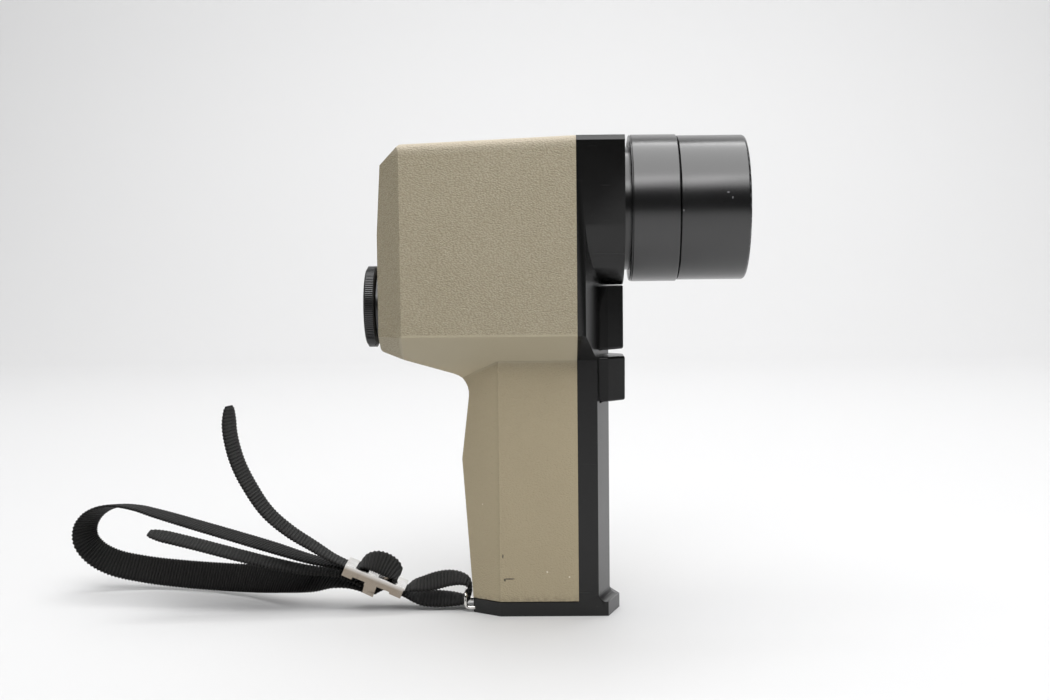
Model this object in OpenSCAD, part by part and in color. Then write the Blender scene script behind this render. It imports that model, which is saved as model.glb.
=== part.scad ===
// Hand-held spot meter with a pistol grip, a focusing lens and a reflex finder
// Millimetres, +Z up, +X towards the lens, origin on the resting face of the base

/* [Head] */
// Width of the head across its flat sides
head_w = 55; // [53:0.5:60]
// Length of the side covers along the head, from front edge to rear face
head_len = 71.6; // [70:0.2:78]
// Height of the roof above the lens axis, at the covers' front edge
head_rise = 25.4; // [24.2:0.2:28.6]
// Fall of the roof from the front edge to the rear cut
roof_fall = 2.6; // [1.6:0.1:3.4]
// Radius of the roof's side edges
roof_round = 3; // [2:0.5:4]
// Bevel of the head's rear upright corners
rear_bevel = 9; // [6:0.5:10]
// Height where the sloping cut above the rear face begins
rear_cut_z = 165.2; // [163:0.2:167]
// Angle of the sloping cut between rear face and roof
rear_cut_angle = 42; // [35:1:50]
// Forward lean of the rear face's upper part
rear_lean = 1.6; // [0.8:0.2:2.4]
// Height where the rear face starts to lean
rear_lean_z = 140.5; // [136:0.5:145]
// Height of the shoulder's upper edge on the head's sides
shoulder_z = 103.9; // [102:0.2:106]
// Drop of the shoulder from the head's side to the grip's side
shoulder_drop = 9.6; // [8:0.2:11]
// Height of the head's underside at the rear face
under_z = 98.1; // [96:0.2:99]
// Slope of the head's underside
under_angle = 18.5; // [14:0.5:22]
// Thickness of the cover walls
cover_wall = 2; // [1.6:0.1:2.4]

/* [Grip] */
// Width of the grip
grip_w = 28.6; // [28:0.2:32]
// Distance from the covers' front edge back to the palm swell
swell_depth = 42.8; // [41.6:0.2:46]
// Height of the palm swell
swell_z = 57.2; // [52:0.4:62]
// Lean of the grip's rear face above the swell
grip_lean = 7; // [4:0.5:9]
// Radius of the throat between head and grip
throat_r = 8; // [5:0.5:11]
// Distance from the covers' front edge back to the base's rear face
foot_depth = 39.1; // [38.4:0.1:41]
// Distance from the covers' front edge to the start of the grip's rear bevel
grip_bevel_depth = 28.8; // [27:0.2:31]
// Angle of the grip's rear bevel to its side
grip_bevel_angle = 35; // [30:1:40]
// Thickness of the base plate
base_t = 5.2; // [4.6:0.1:6.5]
// Reach of the toe in front of the frame
toe_reach = 3.6; // [2.4:0.2:5]
// Radius of the hollow above the toe
toe_hollow = 3; // [2:0.5:4]

/* [Front frame] */
// Position of the covers' front edge
cover_x = 7.8; // [7.4:0.1:8.6]
// Position of the frame's front ridge
prow_x = 19.7; // [19:0.1:21]
// Backward slope of the frame's front from the ridge to the sides
prow_slope = 0.322; // [0.3:0.002:0.35]
// Thickness of the frame's walls
frame_wall = 3.4; // [3.2:0.1:3.6]
// Height of the lens axis
lens_z = 149.4; // [148.8:0.1:150]
// Radius of the round boss that carries the lens
boss_r = 28.1; // [27.8:0.1:28.6]
// Position of the boss's front face
boss_x = 25; // [24.4:0.1:27]
// Chamfer along the frame's roof
frame_chamfer = 1.8; // [1:0.1:2.4]

/* [Lens] */
// Step from the barrel's surface down to the neck
neck_step = 4.3; // [3.9:0.1:4.8]
// Length of the neck that shows
neck_len = 2.3; // [2:0.1:5]
// Diameter of the fixed barrel
barrel_d = 53.9; // [53:0.1:56]
// Length of the fixed barrel
barrel_len = 17.3; // [14:0.1:20]
// Diameter of the focusing ring
focus_d = 53; // [52:0.1:54]
// Length of the focusing ring
focus_len = 24.8; // [24:0.2:30]
// Diameter of the filter thread
filter_d = 49; // [48:0.1:50]
// Depth of the filter thread
filter_depth = 3.7; // [3:0.1:5]
// Travel of the lens cell when focusing
focus_travel = 4; // [2:0.5:5]

/* [Finder] */
// Height of the eyepiece axis
eye_z = 114; // [113.4:0.1:114.6]
// Diameter of the knurled eyepiece ring
eye_ring_d = 30; // [27:0.5:32]
// Thickness of the knurled eyepiece ring
eye_ring_t = 3.9; // [3:0.1:5]
// Diameter of the eyepiece neck
eye_neck_d = 23; // [22:0.2:24]
// Width of the mirror
mirror_w = 33.6; // [30:0.2:35]
// Length of the mirror
mirror_len = 44; // [38:0.5:45]
// Side of the finder prism
prism_size = 24; // [20:0.5:24]

/* [Triggers] */
// Width of the triggers
trigger_w = 23; // [20:0.2:23.2]
// Narrowing of the lower trigger towards its foot, on each side
trigger_taper = 1.8; // [0:0.2:3]
// Height of the lower trigger's foot
lower_trigger_z = 78.6; // [76:0.2:80]
// Height of the lower trigger
lower_trigger_h = 16.6; // [15:0.2:17.6]
// How far the lower trigger stands ahead of the upper one
lower_trigger_lead = 0.6; // [0:0.1:0.9]
// Gap between the two triggers
trigger_gap = 2.6; // [2.2:0.1:3.4]
// Gap between the upper trigger and the lens boss
trigger_top_gap = 0.3; // [0.2:0.1:0.8]
// Travel of the triggers
trigger_travel = 2.5; // [1.5:0.1:2.8]
// Length of the bevel on the triggers' front corners
trigger_bevel = 5.8; // [4:0.2:7]

/* [Dial] */
// Diameter of the calculator dial
dial_d = 48; // [42:0.5:50]
// Diameter of the inner film dial
film_dial_d = 34; // [28:0.5:38]
// Height of the dial's centre
dial_z = 140; // [136:0.5:142]
// Distance from the covers' front edge back to the dial's centre
dial_depth = 32; // [28:0.5:36]

/* [Strap] */
// Width of the wrist strap
strap_w = 11.5; // [10:0.1:11.7]
// Thickness of the wrist strap
strap_t = 1.4; // [0.8:0.05:1.5]
// Diameter of the strap lug's wire
lug_wire_d = 1.4; // [1.2:0.1:1.6]

/* [Battery] */
// Width of the battery across the grip
battery_w = 17.5; // [16:0.1:17.6]
// Depth of the battery along the grip
battery_d = 26.5; // [24:0.1:26.6]
// Height of the battery without its terminals
battery_h = 46.4; // [42:0.2:48]

/* [Clearances] */
// Gap of a running fit, on the radius
run_fit = 0.05; // [0.03:0.01:0.08]
// Gap round parts that slide or lift out
slide_gap = 0.3; // [0.25:0.05:0.35]

/* [Hidden] */
$fn = 96;
eps = 0.01;

// Colours
beige = [0.62, 0.58, 0.49];
gloss_black = [0.07, 0.07, 0.07];
satin_black = [0.11, 0.11, 0.11];
steel = [0.72, 0.72, 0.7];
brass = [0.75, 0.62, 0.35];
glass = [0.75, 0.85, 0.9, 0.5];
dark_grey = [0.22, 0.22, 0.23];
webbing = [0.13, 0.13, 0.12];

// Outline of the body
head_half = head_w / 2;
grip_half = grip_w / 2;
rear_x = cover_x - head_len;
head_top = lens_z + head_rise;
neck_d = barrel_d - 2 * neck_step;
swell_x = cover_x - swell_depth;
foot_x = cover_x - foot_depth;
grip_bevel_x = cover_x - grip_bevel_depth;
seam_gap = 0.3;
cover_foot_z = base_t + seam_gap;
shoulder_slope = shoulder_drop / (head_half - grip_half);
keel_z = shoulder_z - head_half * shoulder_slope;
roof_run = head_len - rear_lean - (head_top - roof_fall - rear_cut_z) / tan(rear_cut_angle);
roof_angle = atan(roof_fall / roof_run);
over = 6;
throat_x = (swell_x + tan(grip_lean) * (under_z - swell_z + tan(under_angle) * rear_x))
  / (1 + tan(grip_lean) * tan(under_angle));
throat_z = under_z - tan(under_angle) * (throat_x - rear_x);

// Shared positions inside
lip_len = 1.6;
lip_gap = 0.2;
inner_half = head_half - cover_wall;
prow_inset = frame_wall * sqrt(1 + prow_slope * prow_slope);
barrel_x0 = boss_x + neck_len;
barrel_x1 = barrel_x0 + barrel_len;
focus_x0 = barrel_x1 + slide_gap;
focus_x1 = focus_x0 + focus_len;
filter_x0 = focus_x1 - filter_depth;
retainer_t = 1.2;
guide_x1 = filter_x0 - retainer_t;
guide_r = filter_d / 2 - 1.1;
guide_wall = 2.4;
cell_r = guide_r - guide_wall - run_fit;
cell_wall = 1.9;
cell_len = 15;
cell_x1 = guide_x1 - 1.8;
cell_x0 = cell_x1 - cell_len;
mirror_x = -14;
box_half = mirror_w / 2;
sheet = 1.5;
box_front = cover_x - 2.8;
box_rear = mirror_x - 18;
prism_top = eye_z + prism_size / 2;
ledge_z = prism_top + 0.6;
screen_z = ledge_z + sheet;
screen_t = 1.5;
scale_t = 0.6;
needle_z = screen_z + screen_t + scale_t + 0.6;
needle_t = 0.5;
meter_room = box_rear - sheet - rear_x;
meter_x = rear_x + 0.5545 * meter_room;
meter_r = 0.3135 * meter_room;
meter_z = needle_z + needle_t + 0.8;
meter_h = 8;
eye_ring_gap = 2;
eye_flange_gap = 0.1;
bracket_x = cover_x - 5.8;
bracket_face = bracket_x + sheet;
upper_trigger_z = lower_trigger_z + lower_trigger_h + trigger_gap;
upper_trigger_top = lens_z - boss_r - trigger_top_gap;
post_y = 19;
bracket_post_z = upper_trigger_z + 12;
box_low_z = bracket_post_z + 8;
grip_post_z = lower_trigger_z - 6.4;
box_post_y = 20.5;
box_post_z = lens_z + 18;
post_r = 2.2;
screw_r = 1.2;
screw_head_r = 2.1;
screw_head_h = 1.3;
battery_x1 = cover_x - 6.3;
battery_x0 = battery_x1 - battery_d;
tray_wall = 0.9;
battery_z = base_t;
hatch_t = 2.4;
hatch_half = battery_w / 2 + 1.4;
hatch_x0 = battery_x0 - 0.9;
hatch_x1 = battery_x1 + 8.4;
coin_x = battery_x1 + 4.8;
coin_r = 2.9;
bush_x = cover_x + 7.4;
bush_r = 4.4;
socket_r = 3.175;
bush_h = 9;
lug_half = 6.1 + lug_wire_d / 2;
lug_reach = 3;
lug_z0 = 1.6;
lug_z1 = 6.8;
dial_x = cover_x - dial_depth;
dial_axle_r = 3;
dial_step = 1.8;
board_y = box_half + sheet + 1.5;
board_t = 1.5;

// Places of the cover screws on the sides, as X and Z
cover_screw_places = [
  [cover_x - 9.8, head_top - 5.6],
  [rear_x + 9.3, rear_cut_z - 4.2],
  [rear_x + 17.8, under_z + 3],
  [swell_x + 8.5, swell_z + 15],
  [foot_x + 3, base_t + 6.8],
  [cover_x - 4.8, battery_z + battery_h + 12]
];
cover_boss_r = 3;

// Helpers
function unit(v) = v / norm(v);
function cross_z(a, b) = a[0] * b[1] - a[1] * b[0];
function left_of(d) = [-d[1], d[0]];

// Moves every edge of a counter-clockwise outline inwards
function inset(pts, t) = [
  for (i = [0 : len(pts) - 1])
    let (
      p = pts[(i + len(pts) - 1) % len(pts)],
      q = pts[i],
      s = pts[(i + 1) % len(pts)],
      d0 = unit(q - p),
      d1 = unit(s - q),
      a = q + left_of(d0) * t,
      b = q + left_of(d1) * t,
      turn = cross_z(d0, d1)
    )
    abs(turn) < 0.0001 ? a : a + d0 * (cross_z(b - a, d1) / turn)
];

// Points of a round of radius r at the corner c between p and q
function rounded(p, c, q, r, n) =
  let (
    d0 = unit(p - c),
    d1 = unit(q - c),
    half = acos(d0 * d1) / 2,
    o = c + unit(d0 + d1) * r / sin(half),
    t0 = c + d0 * r / tan(half) - o,
    t1 = c + d1 * r / tan(half) - o,
    a0 = atan2(t0[1], t0[0]),
    sweep = (atan2(t1[1], t1[0]) - a0 + 540) % 360 - 180
  )
  [for (i = [0 : n]) o + r * [cos(a0 + sweep * i / n), sin(a0 + sweep * i / n)]];

// Solids from an outline: XZ drawn along Y, YZ drawn along X, XY drawn along Z
module along_y(pts, y0, y1) {
  translate([0, y1, 0]) rotate([90, 0, 0]) linear_extrude(y1 - y0) polygon(pts);
}

module along_x(pts, x0, x1) {
  translate([x0, 0, 0]) rotate([90, 0, 90]) linear_extrude(x1 - x0) polygon(pts);
}

module along_z(pts, z0, z1) {
  translate([0, 0, z0]) linear_extrude(z1 - z0) polygon(pts);
}

module box(x, y, z) {
  translate([x[0], y[0], z[0]]) cube([x[1] - x[0], y[1] - y[0], z[1] - z[0]]);
}

// Turned part about an X axis at height z, outline as radius and X
module turned(z, pts) {
  translate([0, 0, z]) rotate([0, 90, 0]) rotate_extrude() polygon(pts);
}

module ring_x(z, r0, r1, x0, x1) {
  turned(z, [[r0, x0], [r1, x0], [r1, x1], [r0, x1]]);
}

module rod_x(p, r, x1) {
  translate(p) rotate([0, 90, 0]) cylinder(h = x1 - p[0], r = r);
}

module rod_y(x, z, r, y0, y1) {
  translate([x, y1, z]) rotate([90, 0, 0]) cylinder(h = y1 - y0, r = r);
}

module rod_z(x, y, r, z0, z1) {
  translate([x, y, z0]) cylinder(h = z1 - z0, r = r);
}

// Screw along X with its head at the low end
module screw_x(p, x1) {
  rod_x([p[0] - screw_head_h, p[1], p[2]], screw_head_r, p[0]);
  rod_x(p, screw_r, x1);
}

// Side outline of the covers, with its front and foot where asked; the rear corner is
// sharp in outlines that are to be moved inwards by more than its radius
function side_outline(front, foot, t) =
  let (
    swell = [swell_x, swell_z],
    throat = [throat_x, throat_z],
    under = [rear_x, under_z],
    cut = [rear_x + rear_lean, rear_cut_z],
    top = head_top + over,
    foot_slope = (foot_x - swell_x) / (base_t - swell_z)
  )
  concat(
    [[front, foot], [front, top], [cut[0] + (top - cut[1]) / tan(rear_cut_angle), top], cut],
    [[rear_x, rear_lean_z]],
    t < 1.2 ? rounded([rear_x, rear_lean_z], under, throat, 1.6, 3) : [under],
    rounded(under, throat, swell, throat_r, 6),
    [swell, [swell_x + foot_slope * (foot - swell_z), foot]]
  );

// Front outline of the head above its keel, wider than the head by the amount extra
function head_section(top, extra) =
  let (
    half = head_half + extra,
    z = shoulder_z + extra * shoulder_slope
  )
  [[-half, z], [0, keel_z], [half, z], [half, top], [-half, top]];

// Roof section, hanging from its own top edge
function roof_section(t) =
  let (
    low = -head_top,
    corner = [head_half, 0],
    right = t < roof_round - 0.4 ? rounded([head_half, low], corner, [0, 0], roof_round, 5) : [corner],
    left = [for (i = [len(right) - 1 : -1 : 0]) [-right[i][0], right[i][1]]]
  )
  concat([[-head_half, low], [head_half, low]], right, left);

// Section square to a rear bevel, whose own shoulder meets the side's at the upright edge
function bevel_section(top) =
  let (
    edge = rear_x + rear_bevel,
    low = keel_z - over,
    face = (head_half - edge) / sqrt(2)
  )
  [
    [-head_len, low], [((low - keel_z) / shoulder_slope - edge) / sqrt(2), low],
    [face, shoulder_z], [face, top], [-head_len, top]
  ];

function mirrored(points) = [for (i = [len(points) - 1 : -1 : 0]) [-points[i][0], points[i][1]]];

// The head's room inside both rear bevels, moved inwards by t
module bevel_room(t) {
  points = inset(bevel_section(head_top + 2 * over), t);
  intersection() {
    rotate([0, 0, 45]) along_x(points, -head_len - over, head_len);
    rotate([0, 0, -45]) along_x(mirrored(points), -head_len - over, head_len);
  }
}

function grip_plan(front) =
  let (
    back = swell_x - 1.2,
    back_half = grip_half - (grip_bevel_x - back) * tan(grip_bevel_angle)
  )
  [
    [front, grip_half], [grip_bevel_x, grip_half], [back, back_half],
    [back, -back_half], [grip_bevel_x, -grip_half], [front, -grip_half]
  ];

// The body's solid, moved inwards by t, reaching forward to front and down to foot
module body_solid(t, front, foot) {
  intersection() {
    along_y(inset(side_outline(front + t, foot - t, t), t), -head_half - over, head_half + over);
    union() {
      intersection() {
        along_x(inset(head_section(head_top + 2 * over, over), t), rear_x - over, front + over);
        bevel_room(t);
        translate([cover_x, 0, head_top]) rotate([0, -roof_angle, 0])
          along_x(inset(roof_section(t), t), -head_len - 2 * over, 3 * over);
      }
      along_z(inset(grip_plan(front + over), t), -over, shoulder_z);
    }
  }
}

module half_space(side) {
  y = side > 0 ? [0, head_half + over] : [-head_half - over, 0];
  box([rear_x - over, cover_x + over], y, [-over, head_top + over]);
}

// One cover, side is 1 for the left and -1 for the right
module cover_shell(side) {
  difference() {
    intersection() {
      union() {
        difference() {
          body_solid(0, cover_x, cover_foot_z);
          body_solid(cover_wall, cover_x + over, cover_foot_z - over);
        }
        intersection() {
          body_solid(cover_wall / 2, cover_x, cover_foot_z);
          for (p = cover_screw_places) rod_y(p[0], p[1], cover_boss_r, -head_half, head_half);
        }
        if (side > 0) rod_y(dial_x, dial_z, dial_axle_r + 2, inner_half - 2.4, head_half - eps);
      }
      half_space(side);
    }
    rod_x([rear_x - over, 0, eye_z], eye_neck_d / 2 + 0.15, rear_x + over);
    for (p = cover_screw_places) cover_screw_hole(p, side);
    if (side > 0) rod_y(dial_x, dial_z, screw_r, inner_half - 1.2, head_half + over);
  }
}

// Half width of the body's outside at a point of its side
function side_half(p) = p[1] > shoulder_z ? head_half
  : p[1] > shoulder_z - shoulder_drop ? grip_half + (p[1] - shoulder_z + shoulder_drop) / shoulder_slope
  : p[0] > grip_bevel_x ? grip_half
  : grip_half - (grip_bevel_x - p[0]) * tan(grip_bevel_angle);

function screw_seat(p) = side_half(p) - cover_wall - 2.4;
screw_grip = 6;

module cover_screw_hole(p, side) {
  seat = screw_seat(p);
  if (side > 0) {
    rod_y(p[0], p[1], screw_r + 0.1, -eps, seat);
    rod_y(p[0], p[1], screw_head_r + 0.2, seat, head_half + over);
  } else {
    rod_y(p[0], p[1], screw_r, -screw_grip, eps);
  }
}

module right_cover() {
  color(beige) cover_shell(-1);
}

module left_cover() {
  color(beige) cover_shell(1);
}

module cover_screws() {
  color(steel) for (p = cover_screw_places) {
    seat = screw_seat(p);
    difference() {
      union() {
        rod_y(p[0], p[1], screw_r, -screw_grip, seat);
        rod_y(p[0], p[1], screw_head_r, seat, seat + screw_head_h);
      }
      box([p[0] - screw_head_r, p[0] + screw_head_r], [seat + 0.7, seat + 2], [p[1] - 0.25, p[1] + 0.25]);
    }
  }
}

// Front frame with the base plate in one piece

// Plan of the frame's front, half as wide as asked and moved forward by off
function prow_plan(rear, half, off) = [
  [rear, -half], [prow_x + off - prow_slope * half, -half], [prow_x + off, 0],
  [prow_x + off - prow_slope * half, half], [rear, half]
];

function base_plan(off) =
  let (
    back_half = grip_half - (grip_bevel_x - foot_x) * tan(grip_bevel_angle)
  )
  concat(
    [[foot_x, back_half], [foot_x, -back_half], [grip_bevel_x, -grip_half]],
    [for (i = [1 : 3]) prow_plan(foot_x, grip_half, off)[i]],
    [[grip_bevel_x, grip_half]]
  );

function frame_roof(t) =
  let (
    half = head_half - t,
    top = head_top - t
  )
  [
    [-half, lens_z], [half, lens_z], [half, top - frame_chamfer],
    [half - frame_chamfer, top], [frame_chamfer - half, top], [-half, top - frame_chamfer]
  ];

module frame_solid(t, rear) {
  inset_x = t * sqrt(1 + prow_slope * prow_slope);
  front = boss_x - t;
  // Lower head and shoulder behind the ridge
  intersection() {
    along_x(inset(head_section(lens_z, 0), t), rear, prow_x);
    along_z(prow_plan(rear, head_half - t, -inset_x), 0, lens_z - t);
  }
  // Grip
  along_z(prow_plan(rear, grip_half - t, -inset_x), t > 0 ? base_t : 0, shoulder_z);
  // Lens boss
  intersection() {
    rod_x([rear, 0, lens_z], boss_r - t, front);
    box([rear, front], [t - head_half, head_half - t], [0, head_top]);
  }
  along_x(frame_roof(t), rear, front);
}

// Hollow sweep above the toe, as an XZ outline in front of the ridge
module toe_fillet() {
  r = min(toe_hollow, toe_reach - 0.2);
  intersection() {
    difference() {
      along_z(prow_plan(cover_x, grip_half, r), base_t, base_t + r);
      for (side = [-1, 1])
        translate([prow_x + r * sqrt(1 + prow_slope * prow_slope), 0, base_t + r])
          rotate([0, 0, side * (90 + atan(prow_slope))]) rotate([0, 90, 0])
            translate([0, 0, -over]) cylinder(h = head_w, r = r);
    }
    box([cover_x, boss_x + over], [-grip_half, grip_half], [0, head_top]);
  }
}

// Section that the covers close round, moved inwards by t
module lip_solid(t, rear) {
  half = head_half;
  r = roof_round;
  section = [
    [-half, shoulder_z], [0, keel_z], [half, shoulder_z], [half, head_top - r],
    [half - r, head_top], [r - half, head_top], [-half, head_top - r]
  ];
  along_x(inset(section, t), rear, cover_x + 0.5);
  box([rear, cover_x + 0.5], [t - grip_half, grip_half - t], [base_t - 1, shoulder_z]);
}

module trigger_opening(z0, z1) {
  half = trigger_w / 2 + slide_gap;
  box([cover_x, boss_x + over], [-half, half], [z0 - slide_gap, z1 + slide_gap]);
}

module frame_posts() {
  for (side = [-1, 1]) {
    rod_x([bracket_face, side * post_y, bracket_post_z], post_r, prow_x - prow_slope * post_y - 1.5);
    rod_x([box_front + sheet, side * post_y, box_low_z], post_r, prow_x - prow_slope * post_y - 1.5);
    rod_x([box_front + sheet, side * box_post_y, box_post_z], post_r, boss_x - frame_wall / 2);
  }
  rod_x([bracket_face, 0, grip_post_z], post_r, prow_x - frame_wall / 2);
}

module frame_post_holes() {
  for (side = [-1, 1]) {
    rod_x([0, side * post_y, bracket_post_z], screw_r, bracket_face + 4);
    rod_x([0, side * post_y, box_low_z], screw_r, box_front + sheet + 3.4);
    rod_x([0, side * box_post_y, box_post_z], screw_r, box_front + sheet + 4);
  }
  rod_x([0, 0, grip_post_z], screw_r, bracket_face + 4);
}

module front_frame() {
  color(gloss_black) difference() {
    union() {
      difference() {
        frame_solid(0, cover_x);
        frame_solid(frame_wall, cover_x - over);
        rod_x([boss_x - over, 0, lens_z], neck_d / 2 + run_fit, boss_x + over);
        trigger_opening(lower_trigger_z, lower_trigger_z + lower_trigger_h);
        trigger_opening(upper_trigger_z, upper_trigger_top);
      }
      // Lip that the covers close round
      difference() {
        lip_solid(cover_wall + lip_gap, cover_x - lip_len);
        lip_solid(frame_wall, cover_x - lip_len - 1);
      }
      along_z(base_plan(toe_reach), 0, base_t);
      toe_fillet();
      rod_z(coin_x, 0, coin_r - 0.1, 0, base_t + 3);
      frame_posts();
    }
    frame_post_holes();
    for (a = mount_screw_angles)
      mount_screw_place(a) rod_x([mount_x0, 0, 0], mount_screw_d / 2, mount_x0 + mount_flange_t + 2);
    // Battery hatch and its seat
    box([hatch_x0, hatch_x1] + [-slide_gap, slide_gap], [-1, 1] * (hatch_half + slide_gap), [-eps, hatch_t + slide_gap]);
    box([battery_x0 - 0.4, battery_x1 + 0.4], [-1, 1] * (battery_w / 2 + 0.4), [-eps, base_t + eps]);
    rod_z(coin_x, 0, screw_r + 0.3 + run_fit, 0, base_t + 2);
    rod_z(bush_x, 0, bush_r, -eps, base_t + 1);
    for (side = [-1, 1])
      rod_x([foot_x - 1, side * lug_half, lug_z0], lug_wire_d / 2, foot_x + 5);
  }
}

module chassis_screws() {
  color(steel) {
    for (side = [-1, 1]) {
      screw_x([bracket_x, side * post_y, bracket_post_z], bracket_face + 4);
      screw_x([box_front, side * post_y, box_low_z], box_front + sheet + 3.4);
      screw_x([box_front, side * box_post_y, box_post_z], box_front + sheet + 4);
    }
    screw_x([bracket_x, 0, grip_post_z], bracket_face + 4);
  }
}

// Lens

mount_flange_r = boss_r - frame_wall - 0.15;
mount_flat = head_half - frame_wall - slide_gap;
seat_fit = 0.03;
mount_flange_t = 2.4;
mount_x0 = boss_x - frame_wall - mount_flange_t;
mount_bore_r = neck_d / 2 - 2.6;
mount_screw_r = (neck_d / 2 + mount_flange_r) / 2 - 0.1;
mount_screw_d = 1.2;
mount_screw_angles = [30, 150, 210, 330];

module lens_mount() {
  color(satin_black) difference() {
    turned(lens_z, [
      [mount_bore_r, mount_x0], [mount_flange_r, mount_x0], [mount_flange_r, mount_x0 + mount_flange_t],
      [neck_d / 2, mount_x0 + mount_flange_t], [neck_d / 2, barrel_x0 + 3.8], [mount_bore_r, barrel_x0 + 3.8]
    ]);
    rod_x([mount_x0 - 1, 0, lens_z], mount_bore_r + 0.8, mount_x0 + 5);
    for (side = [-1, 1])
      box([mount_x0 - 1, mount_x0 + mount_flange_t + eps], side > 0 ? [mount_flat, mount_flat + over] : [-mount_flat - over, -mount_flat],
        [lens_z - mount_flange_r, lens_z + mount_flange_r]);
    for (a = mount_screw_angles)
      mount_screw_place(a) rod_x([mount_x0 - 2, 0, 0], mount_screw_d / 2 + seat_fit, mount_x0 + 5);
  }
}

module mount_screw_place(a) {
  translate([0, 0, lens_z]) rotate([a, 0, 0]) translate([0, 0, mount_screw_r]) children();
}

module lens_mount_screws() {
  color(steel) for (a = mount_screw_angles)
    mount_screw_place(a) {
      rod_x([mount_x0 - 0.9, 0, 0], mount_screw_d * 0.85, mount_x0);
      rod_x([mount_x0 - eps, 0, 0], mount_screw_d / 2, mount_x0 + mount_flange_t + 2);
    }
}

module barrel_base() {
  r = barrel_d / 2;
  seat_x = barrel_x0 + 3.8;
  edge = 0.8;
  color(satin_black) difference() {
    turned(lens_z, [
      [neck_d / 2 + seat_fit, barrel_x0], [r - edge, barrel_x0], [r, barrel_x0 + edge], [r, barrel_x1],
      [guide_r, barrel_x1], [guide_r, guide_x1], [guide_r - guide_wall, guide_x1],
      [guide_r - guide_wall, seat_x], [neck_d / 2 + seat_fit, seat_x]
    ]);
    focus_key_path();
  }
}

key_r = 0.9;
key_x = cell_x0 + 4;

module focus_key_path() {
  box([key_x - key_r - slide_gap, key_x + key_r + slide_gap + focus_travel],
    [-1, 1] * (key_r + slide_gap), [lens_z, lens_z + guide_r + 0.5]);
}

recess_r = guide_r + 0.5;
thread_relief = 0.6;

module focus_ring() {
  r = focus_d / 2;
  edge = 0.6;
  bore = guide_r + run_fit;
  groove_r = guide_r + 1.2;
  groove_x0 = key_x - 2;
  groove_x1 = key_x + focus_travel + 2;
  step_x = guide_x1 - slide_gap;
  relief_r = filter_d / 2 + 0.4;
  color(satin_black) turned(lens_z, [
    [bore, focus_x0], [r - edge, focus_x0], [r, focus_x0 + edge], [r, focus_x1 - edge],
    [r - edge, focus_x1], [filter_d / 2, focus_x1], [filter_d / 2, filter_x0 + thread_relief],
    [relief_r, filter_x0 + thread_relief], [relief_r, filter_x0], [recess_r, filter_x0],
    [recess_r, step_x], [bore, step_x],
    [bore, groove_x1], [groove_r, groove_x1], [groove_r, groove_x0], [bore, groove_x0]
  ]);
}

module ring_retainer() {
  color(satin_black)
    ring_x(lens_z, guide_r - guide_wall, recess_r - slide_gap, guide_x1, guide_x1 + retainer_t - 0.1);
}

// Outline of a lens of radius r and edge thickness t, bulging by the given sags
function lens_outline(r, x, t, rear_sag, front_sag) =
  let (n = 8)
  concat(
    [for (i = [0 : n]) let (k = i / n) [r * k, x - rear_sag * (1 - k * k)]],
    [for (i = [n : -1 : 0]) let (k = i / n) [r * k, x + t + front_sag * (1 - k * k)]]
  );

lens_r = cell_r - cell_wall;
lens_seat_x = cell_x1 - 6.5;
lens_edge = 3.2;
lens_sag = 2.6;
lens_lip = 1.2;

module lens_cell() {
  color(satin_black) difference() {
    turned(lens_z, [
      [lens_r - 1, cell_x0], [cell_r, cell_x0], [cell_r, cell_x1], [lens_r, cell_x1],
      [lens_r, lens_seat_x], [lens_r - 1, lens_seat_x]
    ]);
    translate([key_x, 0, lens_z]) cylinder(h = cell_r + 1, r = key_r);
  }
}

module front_lens() {
  color(glass) turned(lens_z, lens_outline(lens_r - seat_fit, lens_seat_x, lens_edge, 0, lens_sag));
}

module cell_ring() {
  r = lens_r - lens_lip;
  x = lens_seat_x + lens_edge + lens_sag * (1 - pow(r / lens_r, 2));
  color(satin_black) ring_x(lens_z, r, lens_r, x, cell_x1 - 1);
}

module focus_key() {
  color(steel) translate([key_x, 0, lens_z + lens_r - 0.5]) cylinder(h = guide_r + 0.8 - lens_r + 0.5, r = key_r);
}

rear_lens_x = mount_x0 + 5;
rear_lens_edge = 2.4;
rear_lens_sag = 1;

module rear_lens() {
  color(glass) turned(lens_z, lens_outline(mount_bore_r - seat_fit, rear_lens_x, rear_lens_edge, -0.8, rear_lens_sag));
}

module rear_lens_ring() {
  r = mount_bore_r - lens_lip;
  x = rear_lens_x + rear_lens_edge + rear_lens_sag * (1 - pow(r / mount_bore_r, 2));
  color(satin_black) ring_x(lens_z, r, mount_bore_r, x, x + 1.5);
}

// Finder

box_post_span = 2.6;

module mirror_box() {
  top = box_post_z - 3.6;
  color(dark_grey) difference() {
    union() {
      for (side = [-1, 1])
        box([box_rear, box_front + eps], side > 0 ? [box_half, box_half + sheet] : [-box_half - sheet, -box_half],
          [ledge_z, top]);
      box([box_rear, box_front], [-box_half - sheet, box_half + sheet], [ledge_z, screen_z]);
      box([box_front, box_front + sheet], [-1, 1] * (box_post_y + box_post_span),
        [box_low_z - box_post_span, box_post_z + box_post_span]);
      for (p = board_screw_places) rod_y(p[0], p[1], 2, box_half + sheet, board_y);
    }
    box([box_front - 1, box_front + 3], [-1, 1] * (box_half - 1.5), [screen_z + 1, top - 1]);
    box([mirror_x - prism_size / 2, mirror_x + prism_size / 2], [-1, 1] * (box_half - 2), [ledge_z - 1, screen_z + 1]);
    for (side = [-1, 1]) {
      rod_x([box_front - 1, side * post_y, box_low_z], screw_r, box_front + 3);
      rod_x([box_front - 1, side * box_post_y, box_post_z], screw_r, box_front + 3);
    }
    for (p = board_screw_places) rod_y(p[0], p[1], 0.8, box_half, board_y + 1);
    box([box_front - 1, box_front + 3], [-1, 1] * (prism_size / 2 + 3), [0, ledge_z]);
  }
}

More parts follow.
